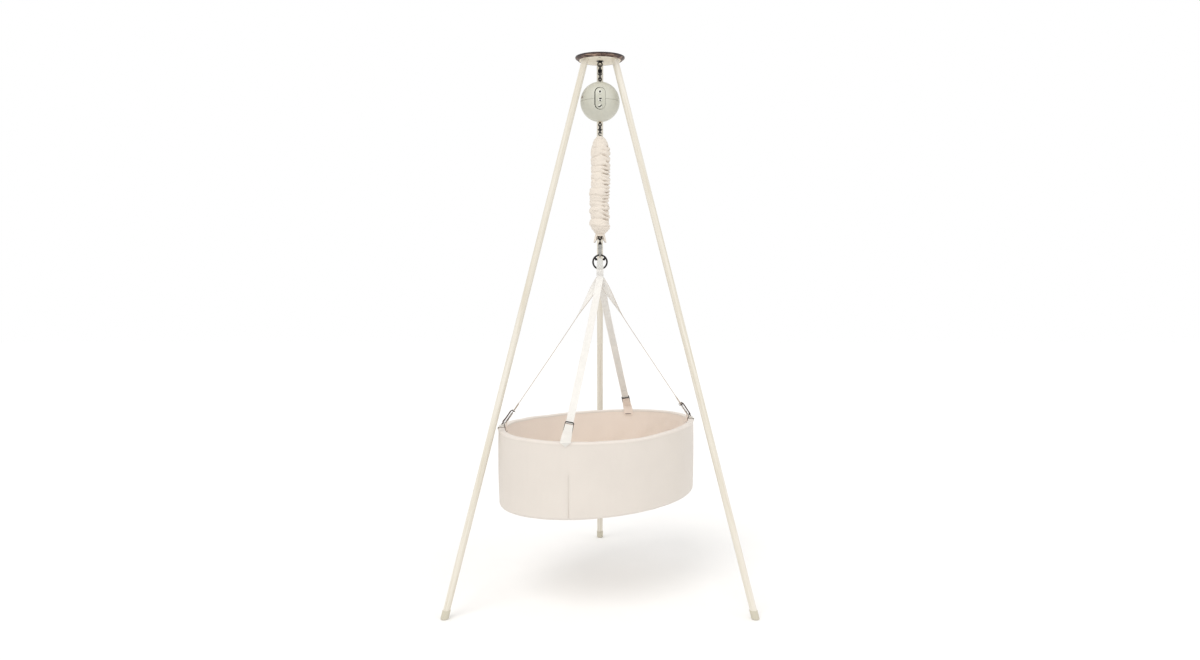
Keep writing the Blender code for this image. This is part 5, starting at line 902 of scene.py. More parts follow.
def make_drive():
    window = pill_block(PANEL_WIDTH, PANEL_LENGTH)
    out = heading_vector(SOCKET_HEADING)
    centre = Vector((0, 0, BALL_CENTRE + SOCKET_RISE))
    for name in ("upper", "lower"):
        steps = [("DIFFERENCE", window.copy())]
        if name == "upper":
            hole = bar(SOCKET_DIAMETER / 2 + GAP, centre + out * 0.070, centre + out * 0.050, 48)
            steps.append(("DIFFERENCE", hole))
        shell = lathe(shell_profile(name == "upper"), 128, closed=True)
        add("ball_" + name, shaped(shell, *steps), SHELL, "drive", name + "_shell")

    reach = math.sqrt(BALL_RADIUS**2 - SOCKET_RISE**2)
    face, inner = centre + out * (reach - 0.0004), centre + out * (reach - 0.0144)
    socket = shaped(
        bevelled(bar(SOCKET_DIAMETER / 2, face, inner, 48), 0.0004),
        ("DIFFERENCE", bar(0.0025, face + out * 0.001, inner + out * 0.003, 36)),
        ("UNION", bar(0.0010, face, inner + out * 0.002, 24)),
    )
    add("inlet", socket, SOCKET_SKIN, "drive", "power_socket")

    skin = BALL_RADIUS + PANEL_PROUD
    cuts = [("INTERSECT", ball(skin, 192, 128)), ("DIFFERENCE", ball(skin - PANEL_WALL, 96, 64))]
    for rise in BUTTONS.values():
        hole = crosswise(BUTTON_DIAMETER / 2 + GAP, 0, BALL_CENTRE + rise, -0.040, -0.080, 64)
        cuts.append(("DIFFERENCE", hole))
    for side in (-1, 1):
        z = BALL_CENTRE + side * 0.0120 - 0.0015
        cuts.append(("UNION", crosswise(0.0020, 0.0125, z, -0.0483, -BALL_RADIUS + 0.0035, 16)))
    plate = pill_block(PANEL_WIDTH - 0.0036, PANEL_LENGTH - 0.0032)
    plate.transform(Matrix.Translation(PANEL_SHIFT))
    add("panel_face", bevelled(shaped(plate, *cuts), 0.0007, 3, 40), PANEL, "drive", "control_panel")

    crown = skin + BUTTON_PROUD
    for (name, rise), (kind, width) in zip(BUTTONS.items(), SIGN_STROKE.items()):
        z = BALL_CENTRE + rise
        back = math.sqrt(BALL_RADIUS**2 - rise**2) - PANEL_WALL - 0.0060
        cap = crosswise(BUTTON_DIAMETER / 2, 0, z, -back, -BALL_RADIUS - 0.004, 64)
        cap = bevelled(shaped(cap, ("INTERSECT", ball(crown, 192, 128))), 0.0005, 3, 40)
        cap = shaped(cap, ("UNION", crosswise(0.0025, 0, z, -0.0511, -back - 0.001, 24)))
        add("cap_" + name, cap, BUTTON, name, name)
        sign = join(*(stroke(line, width / 2) for line in SIGNS[kind]))
        add("sign_" + name, on_ball(sign, rise, crown), MARK, name)
    light = stroke(((-0.0004, 0.0), (0.0004, 0.0)), 0.0014)
    add("sign_light", on_ball(light, BUTTONS["power_button"] - 0.0090, skin), FAINT_MARK, "drive")

    low = BALL_CENTRE + math.sqrt(BALL_RADIUS**2 - HANGER_COLLAR_RADIUS**2) + 0.0006
    collar = upright(HANGER_COLLAR_RADIUS, low, HANGER_COLLAR_TOP + 0.0006, 56, far=HANGER_WIRE)
    shank = upright(HANGER_SHANK / 2, BALL_CENTRE + 0.0284, low + 0.001)
    eye = wire_ring(HANGER_EYE_CENTRE, HANGER_EYE_RADIUS, HANGER_WIRE)
    hanger = shaped(eye, ("UNION", bevelled(collar, 0.0003)), ("UNION", shank))
    add("hanger", hanger, DARK_METAL, "drive", "hanger_eye")


def make_rod():
    """The rod with its rack in the ball, its collar and the eye below."""
    collar_low = BALL_CENTRE - 0.039 + 0.006 + 2 * GAP + 0.0020 + ROD_TRAVEL
    rack_low, rack_high = BALL_CENTRE - 0.0060, BALL_CENTRE + ROD_TRAVEL + 0.0060
    eye_top = ROD_EYE_HEIGHT + HANGER_EYE_RADIUS
    pitch = math.pi * RACK_MODULE
    root, tip = RACK_LINE - RACK_ROOT, RACK_LINE + RACK_TIP
    slope = math.tan(math.radians(20.0))
    thick = pitch / 2 - 0.00025
    wide, narrow = thick / 2 + RACK_ROOT * slope, thick / 2 - RACK_TIP * slope
    outline = [(-0.001, rack_high), (-0.001, rack_low - 0.0002), (root, rack_low - 0.0002)]
    first = math.ceil((rack_low - BALL_CENTRE + pitch / 2) / pitch)
    last = math.floor((rack_high - BALL_CENTRE - pitch / 2) / pitch)
    for tooth in range(first, last + 1):
        middle = BALL_CENTRE + tooth * pitch
        outline += [(root, middle - wide), (tip, middle - narrow)]
        outline += [(tip, middle + narrow), (root, middle + wide)]
    outline.append((root, rack_high))
    work = bmesh.new()
    near, far = ([work.verts.new((x, y, z)) for x, z in outline] for y in (-0.0032, 0.0032))
    for k in range(len(near)):
        m = (k + 1) % len(near)
        work.faces.new((near[k], near[m], far[m], far[k]))
    work.faces.new(near)
    work.faces.new(far)
    bmesh.ops.recalc_face_normals(work, faces=work.faces)
    rod = shaped(
        upright(ROD_DIAMETER / 2, eye_top, rack_high, 48),
        ("DIFFERENCE", block((0.0, -0.008, rack_low), (0.008, 0.008, rack_high + 0.001))),
        ("UNION", finished(work)),
        ("UNION", upright(0.0055, collar_low, collar_low + 0.0030, 48, ease=0.0003)),
        ("UNION", upright(HANGER_WIRE, eye_top - 0.0004, eye_top + 0.003, 48, far=ROD_DIAMETER / 2 - 0.0002)),
        ("UNION", wire_ring(ROD_EYE_HEIGHT, HANGER_EYE_RADIUS, HANGER_WIRE)),
    )
    add("rod_and_rack", rod, DARK_METAL, "rod", "pull_rod")


# Spring, link, swivel, snap and ring


def stretch_with_bounce(obj):
    """The piece hangs below the rod; its placement is only baked into its mesh, and it rides on no body."""
    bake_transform(obj)


def make_spring():
    path = arc((0, 0, SPRING_TOP + SPRING_HOOK_RADIUS), SPRING_HOOK_RADIUS, 0, 270, 36)
    start, end = SPRING_TOP - 0.0012, SPRING_LOW + 0.0012
    coil_top, coil_low = start - SPRING_CONE_HEIGHT, end + SPRING_CONE_HEIGHT
    coils = round((coil_top - coil_low) / SPRING_PITCH)
    turns = coils + 2 * SPRING_CONE_TURNS
    narrow = 0.0040
    for turn in spaced(0, turns, round(turns * 28))[1:]:
        share = min(min(turn, turns - turn) / SPRING_CONE_TURNS, 1.0)
        radius = narrow + (SPRING_RADIUS - narrow) * share
        if turn < SPRING_CONE_TURNS:
            height = start - SPRING_CONE_HEIGHT * share
        elif turns - turn < SPRING_CONE_TURNS:
            height = end + SPRING_CONE_HEIGHT * share
        else:
            height = coil_top - (turn - SPRING_CONE_TURNS) * (coil_top - coil_low) / coils
        angle = -2 * math.pi * turn
        path.append(Vector((radius * math.cos(angle), radius * math.sin(angle), height)))
    path += arc((0, 0, SPRING_LOW - SPRING_HOOK_RADIUS), SPRING_HOOK_RADIUS, 90, 360, 36, "YZ")
    stretch_with_bounce(add("coil_spring", tube(path, SPRING_WIRE / 2, 12), SPRING_METAL, None, "spring"))


def make_links():
    half = LINK_WIDTH / 2
    path = arc((0, 0, LINK_TOP_HEIGHT - half), half, 0, 180, 24)
    path += arc((0, 0, LINK_LOW_HEIGHT + half), half, 180, 360, 24)
    add("link_oval", tube(path, LINK_WIRE / 2, 22, True), DARK_METAL, "swivel_top", "oval_link")

    eye = wire_ring(SWIVEL_EYE_LOW + SWIVEL_EYE_RADIUS, SWIVEL_EYE_RADIUS, SWIVEL_EYE_WIRE, plane="YZ")
    top, edge = SWIVEL_EYE_LOW + 0.0004, SWIVEL_SKIRT_RADIUS
    skirt, head = BARREL_TOP + GAP, BARREL_TOP - 0.0045
    stem = lathe([
        (0.0, top), (SWIVEL_EYE_WIRE * 0.6, top), (SWIVEL_STEM * 0.56, top - 0.0022),
        (SWIVEL_STEM * 0.78, top - 0.0040), (edge - 0.0005, skirt + 0.0032), (edge, skirt + 0.0027),
        (edge, skirt + 0.0004), (edge - 0.0004, skirt), (SWIVEL_STEM / 2, skirt), (SWIVEL_STEM / 2, head),
        (0.0045, head), (0.0045, head - 0.0025), (0.0, head - 0.0025),
    ], 64)
    add("eye_swivel", shaped(eye, ("UNION", stem)), DARK_METAL, "swivel_top", "swivel_eye")

    top, low, outer = BARREL_TOP, BARREL_LOW, SWIVEL_BARREL_RADIUS
    pocket, bore, roof = 0.0045 + GAP, SWIVEL_STEM / 2 + GAP, top - 0.0045 + GAP
    barrel = lathe([
        (bore, top), (outer - 0.0012, top), (outer - 0.0003, top - 0.0003), (outer, top - 0.0012),
        (outer, top - 0.0040), (outer - 0.0004, top - 0.0044), (outer, top - 0.0048), (outer, low),
        (pocket, low), (pocket, roof), (bore, roof),
    ], 72, closed=True)
    middle, half, wire = SNAP_LOW + SNAP_RADIUS, SNAP_PLATE_WIDTH / 2, SNAP_WIRE * 0.38
    path = [Vector((0, SNAP_RADIUS, middle + 0.006)), *arc((0, 0, middle), SNAP_RADIUS, 0, -180, 32, "YZ")]
    path.append(Vector((0, -SNAP_RADIUS, middle + SNAP_NOSE_RISE)))
    y, z = -SNAP_RADIUS, low - 0.0018

    def hinge(radius, reach, sides=28):
        return bar(radius, (-half - reach, y, z), (half + reach, y, z), sides)

    def plate(near, far, reach=0.0, bevel=0.0):
        return block((-half - reach, *near), (half + reach, *far), bevel)

    back = plate((SNAP_RADIUS - wire, middle - 0.0005), (SNAP_RADIUS + wire, low + 0.0030), 0.0, 0.0014)
    snap = shaped(
        barrel,
        ("UNION", back),
        ("UNION", tube(path, SNAP_WIRE / 2, 26)),
        ("UNION", plate((y - 0.0022, z - 0.0022), (y + 0.0026, low + 0.0022), 0.0015, 0.0007)),
        ("DIFFERENCE", plate((y - 0.0050, z - 0.0050), (y + 0.0050, z + 0.0020), GAP)),
        ("DIFFERENCE", upright(pocket + 0.0001, low + 0.0036, low - 0.004, 48)),
        ("UNION", hinge(HOOK_HINGE_PIN / 2, 0.0018)),
    )
    add("snap_body", snap, SNAP_METAL, "cradle", "snap_hook")

    tip, thick = middle + SNAP_NOSE_RISE + 0.0005, SNAP_GATE_THICKNESS / 2
    lever = plate((y - thick, tip), (y + thick, z), 0.0, 0.0008)
    gate = shaped(
        lever, ("UNION", hinge(0.0017, 0.0, 36)), ("DIFFERENCE", hinge(HOOK_HINGE_PIN / 2 + 0.0002, 0.001))
    )
    add("snap_lever", gate, SNAP_METAL, "snap_gate", "snap_gate")

    ring = wire_ring(RING_HEIGHT, RING_RADIUS, RING_WIRE, 28, count=144)
    add("ring", ring, DARK_METAL, "cradle", "cradle_ring")
    # Two dark curved pieces inside the top of the ring, one on each side.
    lug = [
        (0.0172, 0.0160), (0.0158, 0.0130), (0.0140, 0.0102),
        (0.0128, 0.0080), (0.0120, 0.0062), (0.0117, 0.0052),
    ]
    sizes = [0.0026, 0.0031, 0.0041, 0.0044, 0.0033, 0.0014]
    for name, side in (("ring_dark_piece_left", -1), ("ring_dark_piece_right", 1)):
        line = [Vector((side * x, 0, RING_HEIGHT + z)) for x, z in lug]
        add(name, tube(line, sizes, 28), GRIP_METAL, "cradle")


# Spring sleeve

SLEEVE_TOP = SPRING_TOP - 0.0035
SLEEVE_NECK = SPRING_LOW - 0.0085
NECK_FALL = SLEEVE_TOP - SLEEVE_NECK
SLEEVE_BODY = 0.90

# The outline as (fall from the top, radius) points
SLEEVE_SHOULDER = (0.0000, 0.0092), (0.0060, 0.0146), (0.0125, 0.0200)
SLEEVE_RIGHT = (
    *SLEEVE_SHOULDER, (0.0220, 0.0258), (0.0370, 0.0325), (0.0500, 0.0350), (0.1450, 0.0343),
    (0.1920, 0.0334), (0.2220, 0.0292), (0.2350, 0.0332), (0.2550, 0.0314), (0.2660, 0.0338),
    (0.2850, 0.0305), (0.2970, 0.0350), (0.3050, 0.0335), (0.3140, 0.0262), (0.3200, 0.0195),
    (NECK_FALL, 0.0140),
)
SLEEVE_LEFT = (
    *SLEEVE_SHOULDER, (0.0220, 0.0245), (0.0370, 0.0288), (0.0500, 0.0306), (0.1650, 0.0305),
    (0.1780, 0.0352), (0.1920, 0.0380), (0.2100, 0.0346), (0.2220, 0.0374), (0.2345, 0.0315),
    (0.2470, 0.0392), (0.2600, 0.0330), (0.2700, 0.0312), (0.2810, 0.0350), (0.2900, 0.0370),
    (0.3050, 0.0300), (0.3150, 0.0210), (NECK_FALL, 0.0140),
)
FOLD_COUNT = (0.0, 0.0), (0.095, 5.6), (0.215, 15.6), (NECK_FALL, 23.6)


def folds_above(fall):
    for (x0, y0), (x1, y1) in zip(FOLD_COUNT, FOLD_COUNT[1:]):
        if fall <= x1:
            break
    return y0 + (y1 - y0) * (fall - x0) / (x1 - x0)


def sleeve_point(turn, share, inside):
    """A point of the gathered sleeve: share runs from its top to its frill's hem."""
    c, s = math.cos(turn), math.sin(turn)
    pleat = math.sin(13 * turn + 2 * math.sin(3 * turn))
    if share <= SLEEVE_BODY:
        fall = NECK_FALL * share / SLEEVE_BODY
        height = SLEEVE_TOP - fall
        lean = 0.5 + 0.5 * c
        radius = between(fall, SLEEVE_RIGHT) * lean + between(fall, SLEEVE_LEFT) * (1 - lean)
        folds = smooth(fall, 0.018, 0.042) * (1 - smooth(fall, 0.294, 0.312))
        warp = 4.8 * drift(c * 1.1, s * 1.1, height * 15) + 1.9 * drift(c * 2.3 + 7, s * 2.3, height * 42)
        phase = 2 * math.pi * folds_above(fall) + warp
        side = smooth(c + 0.22 * drift(2.0, 1.0, height * 40), -0.05, 0.75)
        reach = smooth(drift(c * 1.3, s * 1.3 + 3, height * 46), -0.35, 0.25)
        deep = (1 - abs(math.sin(phase / 2)) ** 0.80) ** 1.1
        broad = 0.5 + 0.5 * math.cos(phase / 2 + 1.4 * drift(c * 1.6, s * 1.6, height * 30))
        radius -= folds * (side * (0.0030 + 0.0096 * reach) + 0.0005 * reach) * deep
        radius -= folds * 0.0026 * (1 - side * 0.7) * broad**4
        radius += folds * 0.0016 * drift(c * 1.2, s * 1.2 - 5, height * 27)
        radius += folds * 0.0003 * drift(c * 3.5, s * 3.5, height * 120)
        seam = hump(turn - math.radians(232), 0.045) * (1 - smooth(fall, 0.10, 0.13))
        radius -= 0.0016 * seam * folds
        radius = max(radius, 0.0215 * folds)
        gather = 1 - smooth(fall, 0.004, 0.034) + smooth(fall, 0.296, 0.320)
        radius += gather * 0.0012 * pleat * min(1.0, fall / 0.010)
    else:
        flare = (share - SLEEVE_BODY) / (1 - SLEEVE_BODY)
        side = abs(c)
        hem = SLEEVE_NECK - 0.0065 - 0.0215 * smooth(side, 0.45, 0.98) - 0.0100 * smooth(s, 0.2, 0.9)
        hem += 0.0020 * drift(c * 2.2, s * 2.2, 9.0)
        height = SLEEVE_NECK + (hem - SLEEVE_NECK) * flare
        radius = 0.0140 + 0.0065 * flare**0.8 * (0.6 + 0.4 * side)
        radius += 0.0019 * flare * math.sin(9 * turn + 1.2 * math.sin(2 * turn))
        radius += 0.0012 * (1 - flare) * pleat
    if inside:
        radius -= 0.0009
    return Vector((radius * c, radius * s, height))


def make_sleeve():
    around, count = 144, 560
    turns = [2 * math.pi * k / around for k in range(around)]
    shares = spaced(0, 1, count)
    rings = [[sleeve_point(turn, share, False) for turn in turns] for share in shares]
    rings += [[sleeve_point(turn, share, True) for turn in turns] for share in shares[::-1]]
    sleeve = add("sleeve_cloth", loft(rings, along=True, sharp=80), SLEEVE, None, "spring_sleeve")
    stretch_with_bounce(sleeve)


# Basket

# How far the rim is lifted, by heading in degrees
LIFTS = (
    (-180, 0.0118), (-150, 0.0122), (-130, 0.0102), (-112, 0.0062), (-92, 0.0030), (-62, 0.0006),
    (-30, 0.0050), (0, 0.0068), (38, 0.0030), (80, 0.0), (130, 0.0018), (160, 0.0072), (180, 0.0118),
)
LEFT_REACH = 0.0058
OVAL_STEPS = 400
OVAL_TURNS = [2 * math.pi * k / OVAL_STEPS for k in range(OVAL_STEPS)]
HEADING_COS, HEADING_SIN = math.cos(BASKET_HEADING), math.sin(BASKET_HEADING)
SEAM_X = 0.097
QUARTER = (75, 60, 45, 30, 15, 0)


def lifted(mesh):
    """Raises the rim towards its side straps and draws out its left end, with all that is fixed there."""
    c, s = HEADING_COS, HEADING_SIN
    for vert in mesh.vertices:
        x, y, z = vert.co
        if z <= RIM_HEIGHT:
            share = smooth((z - BASKET_BOTTOM) / SIDE_HEIGHT, 0.12, 1.0)
        else:
            share = 1 - min((z - RIM_HEIGHT) / (BUNDLE_LOW - 0.06 - RIM_HEIGHT), 1.0)
        vert.co.z += share * between(math.degrees(math.atan2(y, x)), LIFTS)
        u, v = (x * c + y * s) / BASKET_A, (y * c - x * s) / BASKET_B
        outward = 0.4 + 0.6 * smooth(math.hypot(u, v), 1 - WALL_TOTAL / BASKET_B, 1.0)
        vert.co.x -= LEFT_REACH * outward * (0.75 + 0.25 * share) * smooth(-x, 0.12, 0.31)
    return mesh


def basket_point(angle, inset, height):
    u = (BASKET_A - inset) * math.cos(angle)
    v = (BASKET_B - inset) * math.sin(angle)
    return Vector((u * HEADING_COS - v * HEADING_SIN, u * HEADING_SIN + v * HEADING_COS, height))


def layer(profile, thickness, change):
    """A sheet that follows (inset, height) points round the basket, with a thickness inwards."""
    fine = [profile[0]]
    for (i0, h0), (i1, h1) in zip(profile, profile[1:]):
        steps = max(1, round(math.hypot(i1 - i0, h1 - h0) / SHEET_STEP))
        fine += [(i0 + (i1 - i0) * t / steps, h0 + (h1 - h0) * t / steps) for t in range(1, steps + 1)]
    rings = []
    for side in (0, 1):
        made = []
        for i, (inset, height) in enumerate(fine):
            before, after = neighbours(fine, i)
            di, dh = after[0] - before[0], after[1] - before[1]
            length = math.hypot(di, dh)
            ring = []
            for angle in OVAL_TURNS:
                more_inset, more_height = change(angle, height)
                more_inset += inset
                more_height += height
                ring.append(basket_point(
                    angle,
                    more_inset - side * thickness * dh / length,
                    more_height + side * thickness * di / length,
                ))
            made.append(ring)
        rings += made[::-1] if side else made
    return loft(rings, along=True, sharp=70)


def cover_change(angle, height):
    """Slack in the outside cloth, its two seams and the pull at its hem."""
    c, s = math.cos(angle), math.sin(angle)
    share = smooth(height, BASKET_BOTTOM, BASKET_BOTTOM + 0.03)
    share *= 1 - smooth(height, RIM_HEIGHT - 0.03, RIM_HEIGHT - 0.008)
    slack = 0.0011 * drift(c * 3.2, s * 3.2, height * 5) + 0.0005 * drift(c * 11, s * 11, height * 14)
    slack += 0.0004 * drift(c * 42, s * 42, height * 3)
    point = basket_point(angle, 0.0, 0.0)
    away = point.x + SEAM_X if point.y < 0 else point.x - SEAM_X
    low = 1 - smooth(height, RIM_HEIGHT - 0.105, RIM_HEIGHT - 0.085)
    groove = 0.0034 * hump(away, 0.0019) * low - 0.0008 * hump(away, 0.009) * low
    rise = 0.0
    if height < BASKET_BOTTOM + 0.004:
        rise = 0.0009 * drift(c * 9, s * 9, 2.0) * (1 - smooth(height, BASKET_BOTTOM, BASKET_BOTTOM + 0.004))
    return groove - slack * share, max(rise, -0.0002)


def lining_change(angle, height):
    """Soft puckers in the lining, stronger towards its lower edge and at the right rear."""
    c, s = math.cos(angle), math.sin(angle)
    fall = RIM_HEIGHT - BINDING_HEIGHT - height
    share = (0.35 + 0.65 * smooth(fall, 0.01, 0.12)) * smooth(fall, 0.0, 0.012)
    point = basket_point(angle, 0.0, 0.0)
    away = math.atan2(point.y, point.x) - math.radians(40)
    rear = hump(math.atan2(math.sin(away), math.cos(away)), 0.6)
    slant = height * 26 + 9 * angle
    pucker = 0.0016 * drift(c * 5 + slant * 0.2, s * 5, height * 9)
    pucker += (0.0006 + 0.0012 * rear) * math.sin(slant * 2 + 3 * drift(c * 3, s * 3, height * 8))
    pucker += 0.0006 * drift(c * 22, s * 22, height * 12)
    return pucker * share + 0.0010 * share, 0.0


def oval_pad(rings, change=None):
    """A filled shape from (inset, height) ovals, closed at both ends."""
    made = []
    for inset, height in rings:
        ring = [basket_point(angle, inset, height) for angle in OVAL_TURNS]
        if change:
            for point in ring:
                point.z += change(point, inset, height)
        made.append(ring)
    return loft(made, caps=True)


def rounded(edge, low, way, turns):
    """The mattress's rounded edge, up from low or, with way -1, down from a height."""
    made = []
    for turn in turns:
        turn = math.radians(turn)
        inset = edge + MATTRESS_ROUND_WIDTH * (1 - math.cos(turn)) + MATTRESS_EDGE_GAP
        made.append((inset, low + way * MATTRESS_ROUND_HEIGHT * (1 - math.sin(turn))))
    return made


def make_rim():
    half, low = WALL_TOTAL / 2 + BINDING_OVERHANG, RIM_HEIGHT - BINDING_HEIGHT
    path = [(-BINDING_OVERHANG, low)]
    for turn in range(0, 181, 12):
        turn = math.radians(turn)
        across = math.copysign(abs(math.cos(turn)) ** 0.55, math.cos(turn))
        fall = BINDING_HEIGHT * (0.62 - 0.62 * math.sin(turn) ** 0.8)
        path.append((WALL_TOTAL / 2 - half * across, RIM_HEIGHT - fall))
    path.append((WALL_TOTAL + BINDING_OVERHANG, low))
    rings = []
    for inset, height in path:
        ring = []
        for angle in OVAL_TURNS:
            lift = 0.0004 * drift(math.cos(angle) * 14, math.sin(angle) * 14, height * 60)
            ring.append(basket_point(angle, inset + lift, height + min(lift, 0.0)))
        rings.append(ring)
    rim = add("rim_band", lifted(loft(rings, along=True, sharp=50)), RIM, "cradle", "rim_binding")


def make_mattress(low):
    spacing = BASKET_LENGTH / (MATTRESS_CHANNELS + 1)
    edge = WALL_TOTAL + 0.0010 + MATTRESS_CLEARANCE
    high = low + MATTRESS_THICKNESS

    def quilted(point, inset, height):
        if height < high - 0.004:
            return 0.0
        along = point.x * HEADING_COS + point.y * HEADING_SIN
        near = abs((along / spacing + 0.5) % 1.0 - 0.5) * spacing
        fade = smooth(inset, edge + 0.006, edge + 0.035)
        crown = 0.0010 * drift(point.x * 9, point.y * 9, 1.0)
        return fade * (-0.0050 * hump(near, 0.0060) - 0.0022 * hump(near, 0.020) + crown)

    profile = [(edge + 0.24, low), (edge + 0.0085, low), *rounded(edge, low, 1, QUARTER)]
    for share in spaced(0, 1, 8)[1:-1]:
        inset = edge + MATTRESS_EDGE_GAP + MATTRESS_DRAW * math.sin(math.pi * share)
        rise = MATTRESS_ROUND_HEIGHT + (MATTRESS_THICKNESS - 2 * MATTRESS_ROUND_HEIGHT) * share
        profile.append((inset, low + rise))
    profile += rounded(edge, high, -1, (*QUARTER[::-1], 90))
    for i in range(1, 61):
        reach = 0.0090 + (BASKET_B - edge - 0.0095) * i / 60
        profile.append((edge + reach, high + MATTRESS_CROWN * (1 - math.exp(-reach / 0.055))))
    pad = add("pad", oval_pad(profile, quilted), PAD, "cradle", "mattress")
    for name, height in (("piping_high", high - 0.0016), ("piping_low", low + 0.0020)):
        cord = [basket_point(a, edge + PIPING_RADIUS, height) for a in OVAL_TURNS[::2]]
        piping = add(name, tube(cord, PIPING_RADIUS, 12, True), PAD, "cradle")


def make_basket():
    top, bottom, corner = RIM_HEIGHT - BINDING_HEIGHT - GAP, BASKET_BOTTOM, WALL_HEM_ROUND
    middle = (top + bottom) / 2
    outside = [
        (0.0, top), (-0.0010, top - 0.05), (-0.0015, middle), (-0.0010, bottom + 0.04), (0.0, bottom + corner)
    ]
    for turn in range(10, 91, 10):
        turn = math.radians(turn)
        outside.append((corner * (1 - math.cos(turn)), bottom + corner * (1 - math.sin(turn))))
    outside.append((WALL_TOTAL + 0.0055, bottom))
    mesh = lifted(layer(outside, COVER_THICKNESS, cover_change))
    cover = add("cover_side", mesh, COVER, "cradle", "basket_wall")

    low, high = bottom + 0.0003, bottom + 0.0003 + 0.0012
    oval = oval_pad([(0.22, low), (WALL_TOTAL + 0.0060, low), (WALL_TOTAL + 0.0058, high), (0.22, high)])
    under = add("cover_bottom", lifted(oval), COVER, "cradle", "basket_wall")

    ledge = bottom + BOARD_PANEL_THICKNESS + 0.004
    inside = [(WALL_TOTAL - 0.0012, top), (WALL_TOTAL - 0.0004, middle), (WALL_TOTAL - 0.0008, ledge + 0.003)]
    mesh = lifted(layer(inside, LINING_THICKNESS, lining_change))
    lining = add("lining_side", mesh, LINING, "cradle", "basket_lining")
    make_rim()
    make_mattress(ledge + GAP)


# Straps, buckles and tabs

STITCH_PITCH = 0.0034
STITCH_LENGTH = 0.0024
THREAD_RADIUS = 0.00032
KEEPER_DEPTH = 0.0092
KEEPER_THICKNESS = 0.0020
GUARD_THICKNESS = 0.0040
GUARD_PROUD = 0.0042
TIP_DROP = 0.0145
TIP_LENGTH = 0.0130
INNER_DROP = 0.0190
PART_RISE = 0.0150
BAND_SIDES = 28


def rim_attachments():
    """The four places where the straps are fixed to the rim."""
    a, b = BASKET_A, BASKET_B
    found = {}
    for name, x, y in (("front", 0, -1), ("left", -1, 0), ("rear", 0, 1), ("right", 1, 0)):
        nu, nv = x * HEADING_COS + y * HEADING_SIN, y * HEADING_COS - x * HEADING_SIN
        reach = math.hypot(a * nu, b * nv)
        u, v = a * a * nu / reach, b * b * nv / reach
        edge = Vector((u * HEADING_COS - v * HEADING_SIN, u * HEADING_SIN + v * HEADING_COS, RIM_HEIGHT))
        normal = Vector((x, y, 0))
        centre = edge - normal * WALL_TOTAL / 2
        found[name] = {"centre": centre, "normal": normal, "along": Vector((-y, x, 0))}
    return found


def strap_line(place):
    """The directions along a strap, across it and out of its face."""
    along = (Vector((0, 0, BUNDLE_LOW)) - place["centre"]).normalized()
    side = place["along"] - along * place["along"].dot(along)
    side.normalize()
    out = side.cross(along)
    return along, side, -out if out.dot(place["normal"]) < 0 else out


def band(stations, thickness):
    """A flat band through (place, width direction, direction, half width), with soft edges."""
    t = thickness / 2
    edge = [math.radians(turn) for turn in (-60, -30, 0, 30, 60)]
    rings = []
    for place, across, along, half in stations:
        across = (across - along * across.dot(along)).normalized()
        through = along.cross(across)
        inner = max(half - t, 0.0002)
        marks = [inner * w for w in spaced(-1, 1, 8)]
        ring = [place + across * w - through * t for w in marks]
        ring += [place + across * (inner + t * math.cos(a)) + through * t * math.sin(a) for a in edge]
        ring += [place + across * w + through * t for w in marks[::-1]]
        ring += [place - across * (inner + t * math.cos(a)) + through * t * math.sin(a) for a in edge[::-1]]
        rings.append(ring)
    return loft(rings, caps=True, sharp=50)


def stitched_line(line, out):
    """Thread stitches along a line of points, lifted by a direction and sunk at both ends."""
    shares = spaced(0, 1, 6)
    sizes = [THREAD_RADIUS * (0.25 + 0.75 * math.sin(math.pi * share) ** 0.5) for share in shares]
    made = []
    for start, end in zip(line, line[1:]):
        span = (end - start).length
        count = max(1, int(span / STITCH_PITCH))
        along = (end - start) / span
        for i in range(count):
            first = start + along * (span * (i + 0.5) / count - STITCH_LENGTH / 2)
            low, high = first + out, first + along * STITCH_LENGTH + out
            made.append(tube([low.lerp(high, share) for share in shares], sizes, 8))
    return made


def buckle_point(place, distance, width):
    along, side, _ = strap_line(place)
    return place["centre"] + along * distance + side * width


def make_buckle(name, place):
    half = STRAP_WIDTH / 2 + BUCKLE_SIDE_CLEARANCE + BUCKLE_WIRE / 2
    corner = BUCKLE_CORNER
    outline = []
    for distance, width, up, across, first in (
        (BUCKLE_LOW, -half, 1, 1, 180),
        (BUCKLE_LOW, half, 1, -1, -90),
        (BUCKLE_HIGH, half, -1, -1, 0),
        (BUCKLE_HIGH, -half, -1, 1, 90),
    ):
        distance, width = distance + up * corner, width + across * corner
        for turn in spaced(first, first + 90, 8):
            turn = math.radians(turn)
            spot = distance + corner * math.sin(turn), width + corner * math.cos(turn)
            outline.append(buckle_point(place, *spot))
    slim = abs(place["normal"].x) > 0.5
    frame_wire = tube(outline, BUCKLE_WIRE / 2 - (0.0004 if slim else 0.0002), 16, True)
    _, _, out = strap_line(place)
    rise = BUCKLE_WIRE / 2 + 2 * STRAP_THICKNESS + 3 * GAP + 0.0004
    reach = half - 0.0008
    bars = []
    for face in (1, -1):
        line = []
        for share in spaced(0, 1, 24):
            swell = min(1.0, math.sin(math.pi * share) * 3.2) ** 0.5
            spot = buckle_point(place, BUCKLE_HIGH - 0.0005, reach * (2 * share - 1))
            line.append(spot + out * rise * face * swell)
        bars.append(tube(line, 0.0008 if slim else 0.0015, 16))
    add("frame_" + name, lifted(join(frame_wire, *bars)), GRIP_METAL, "cradle", name)


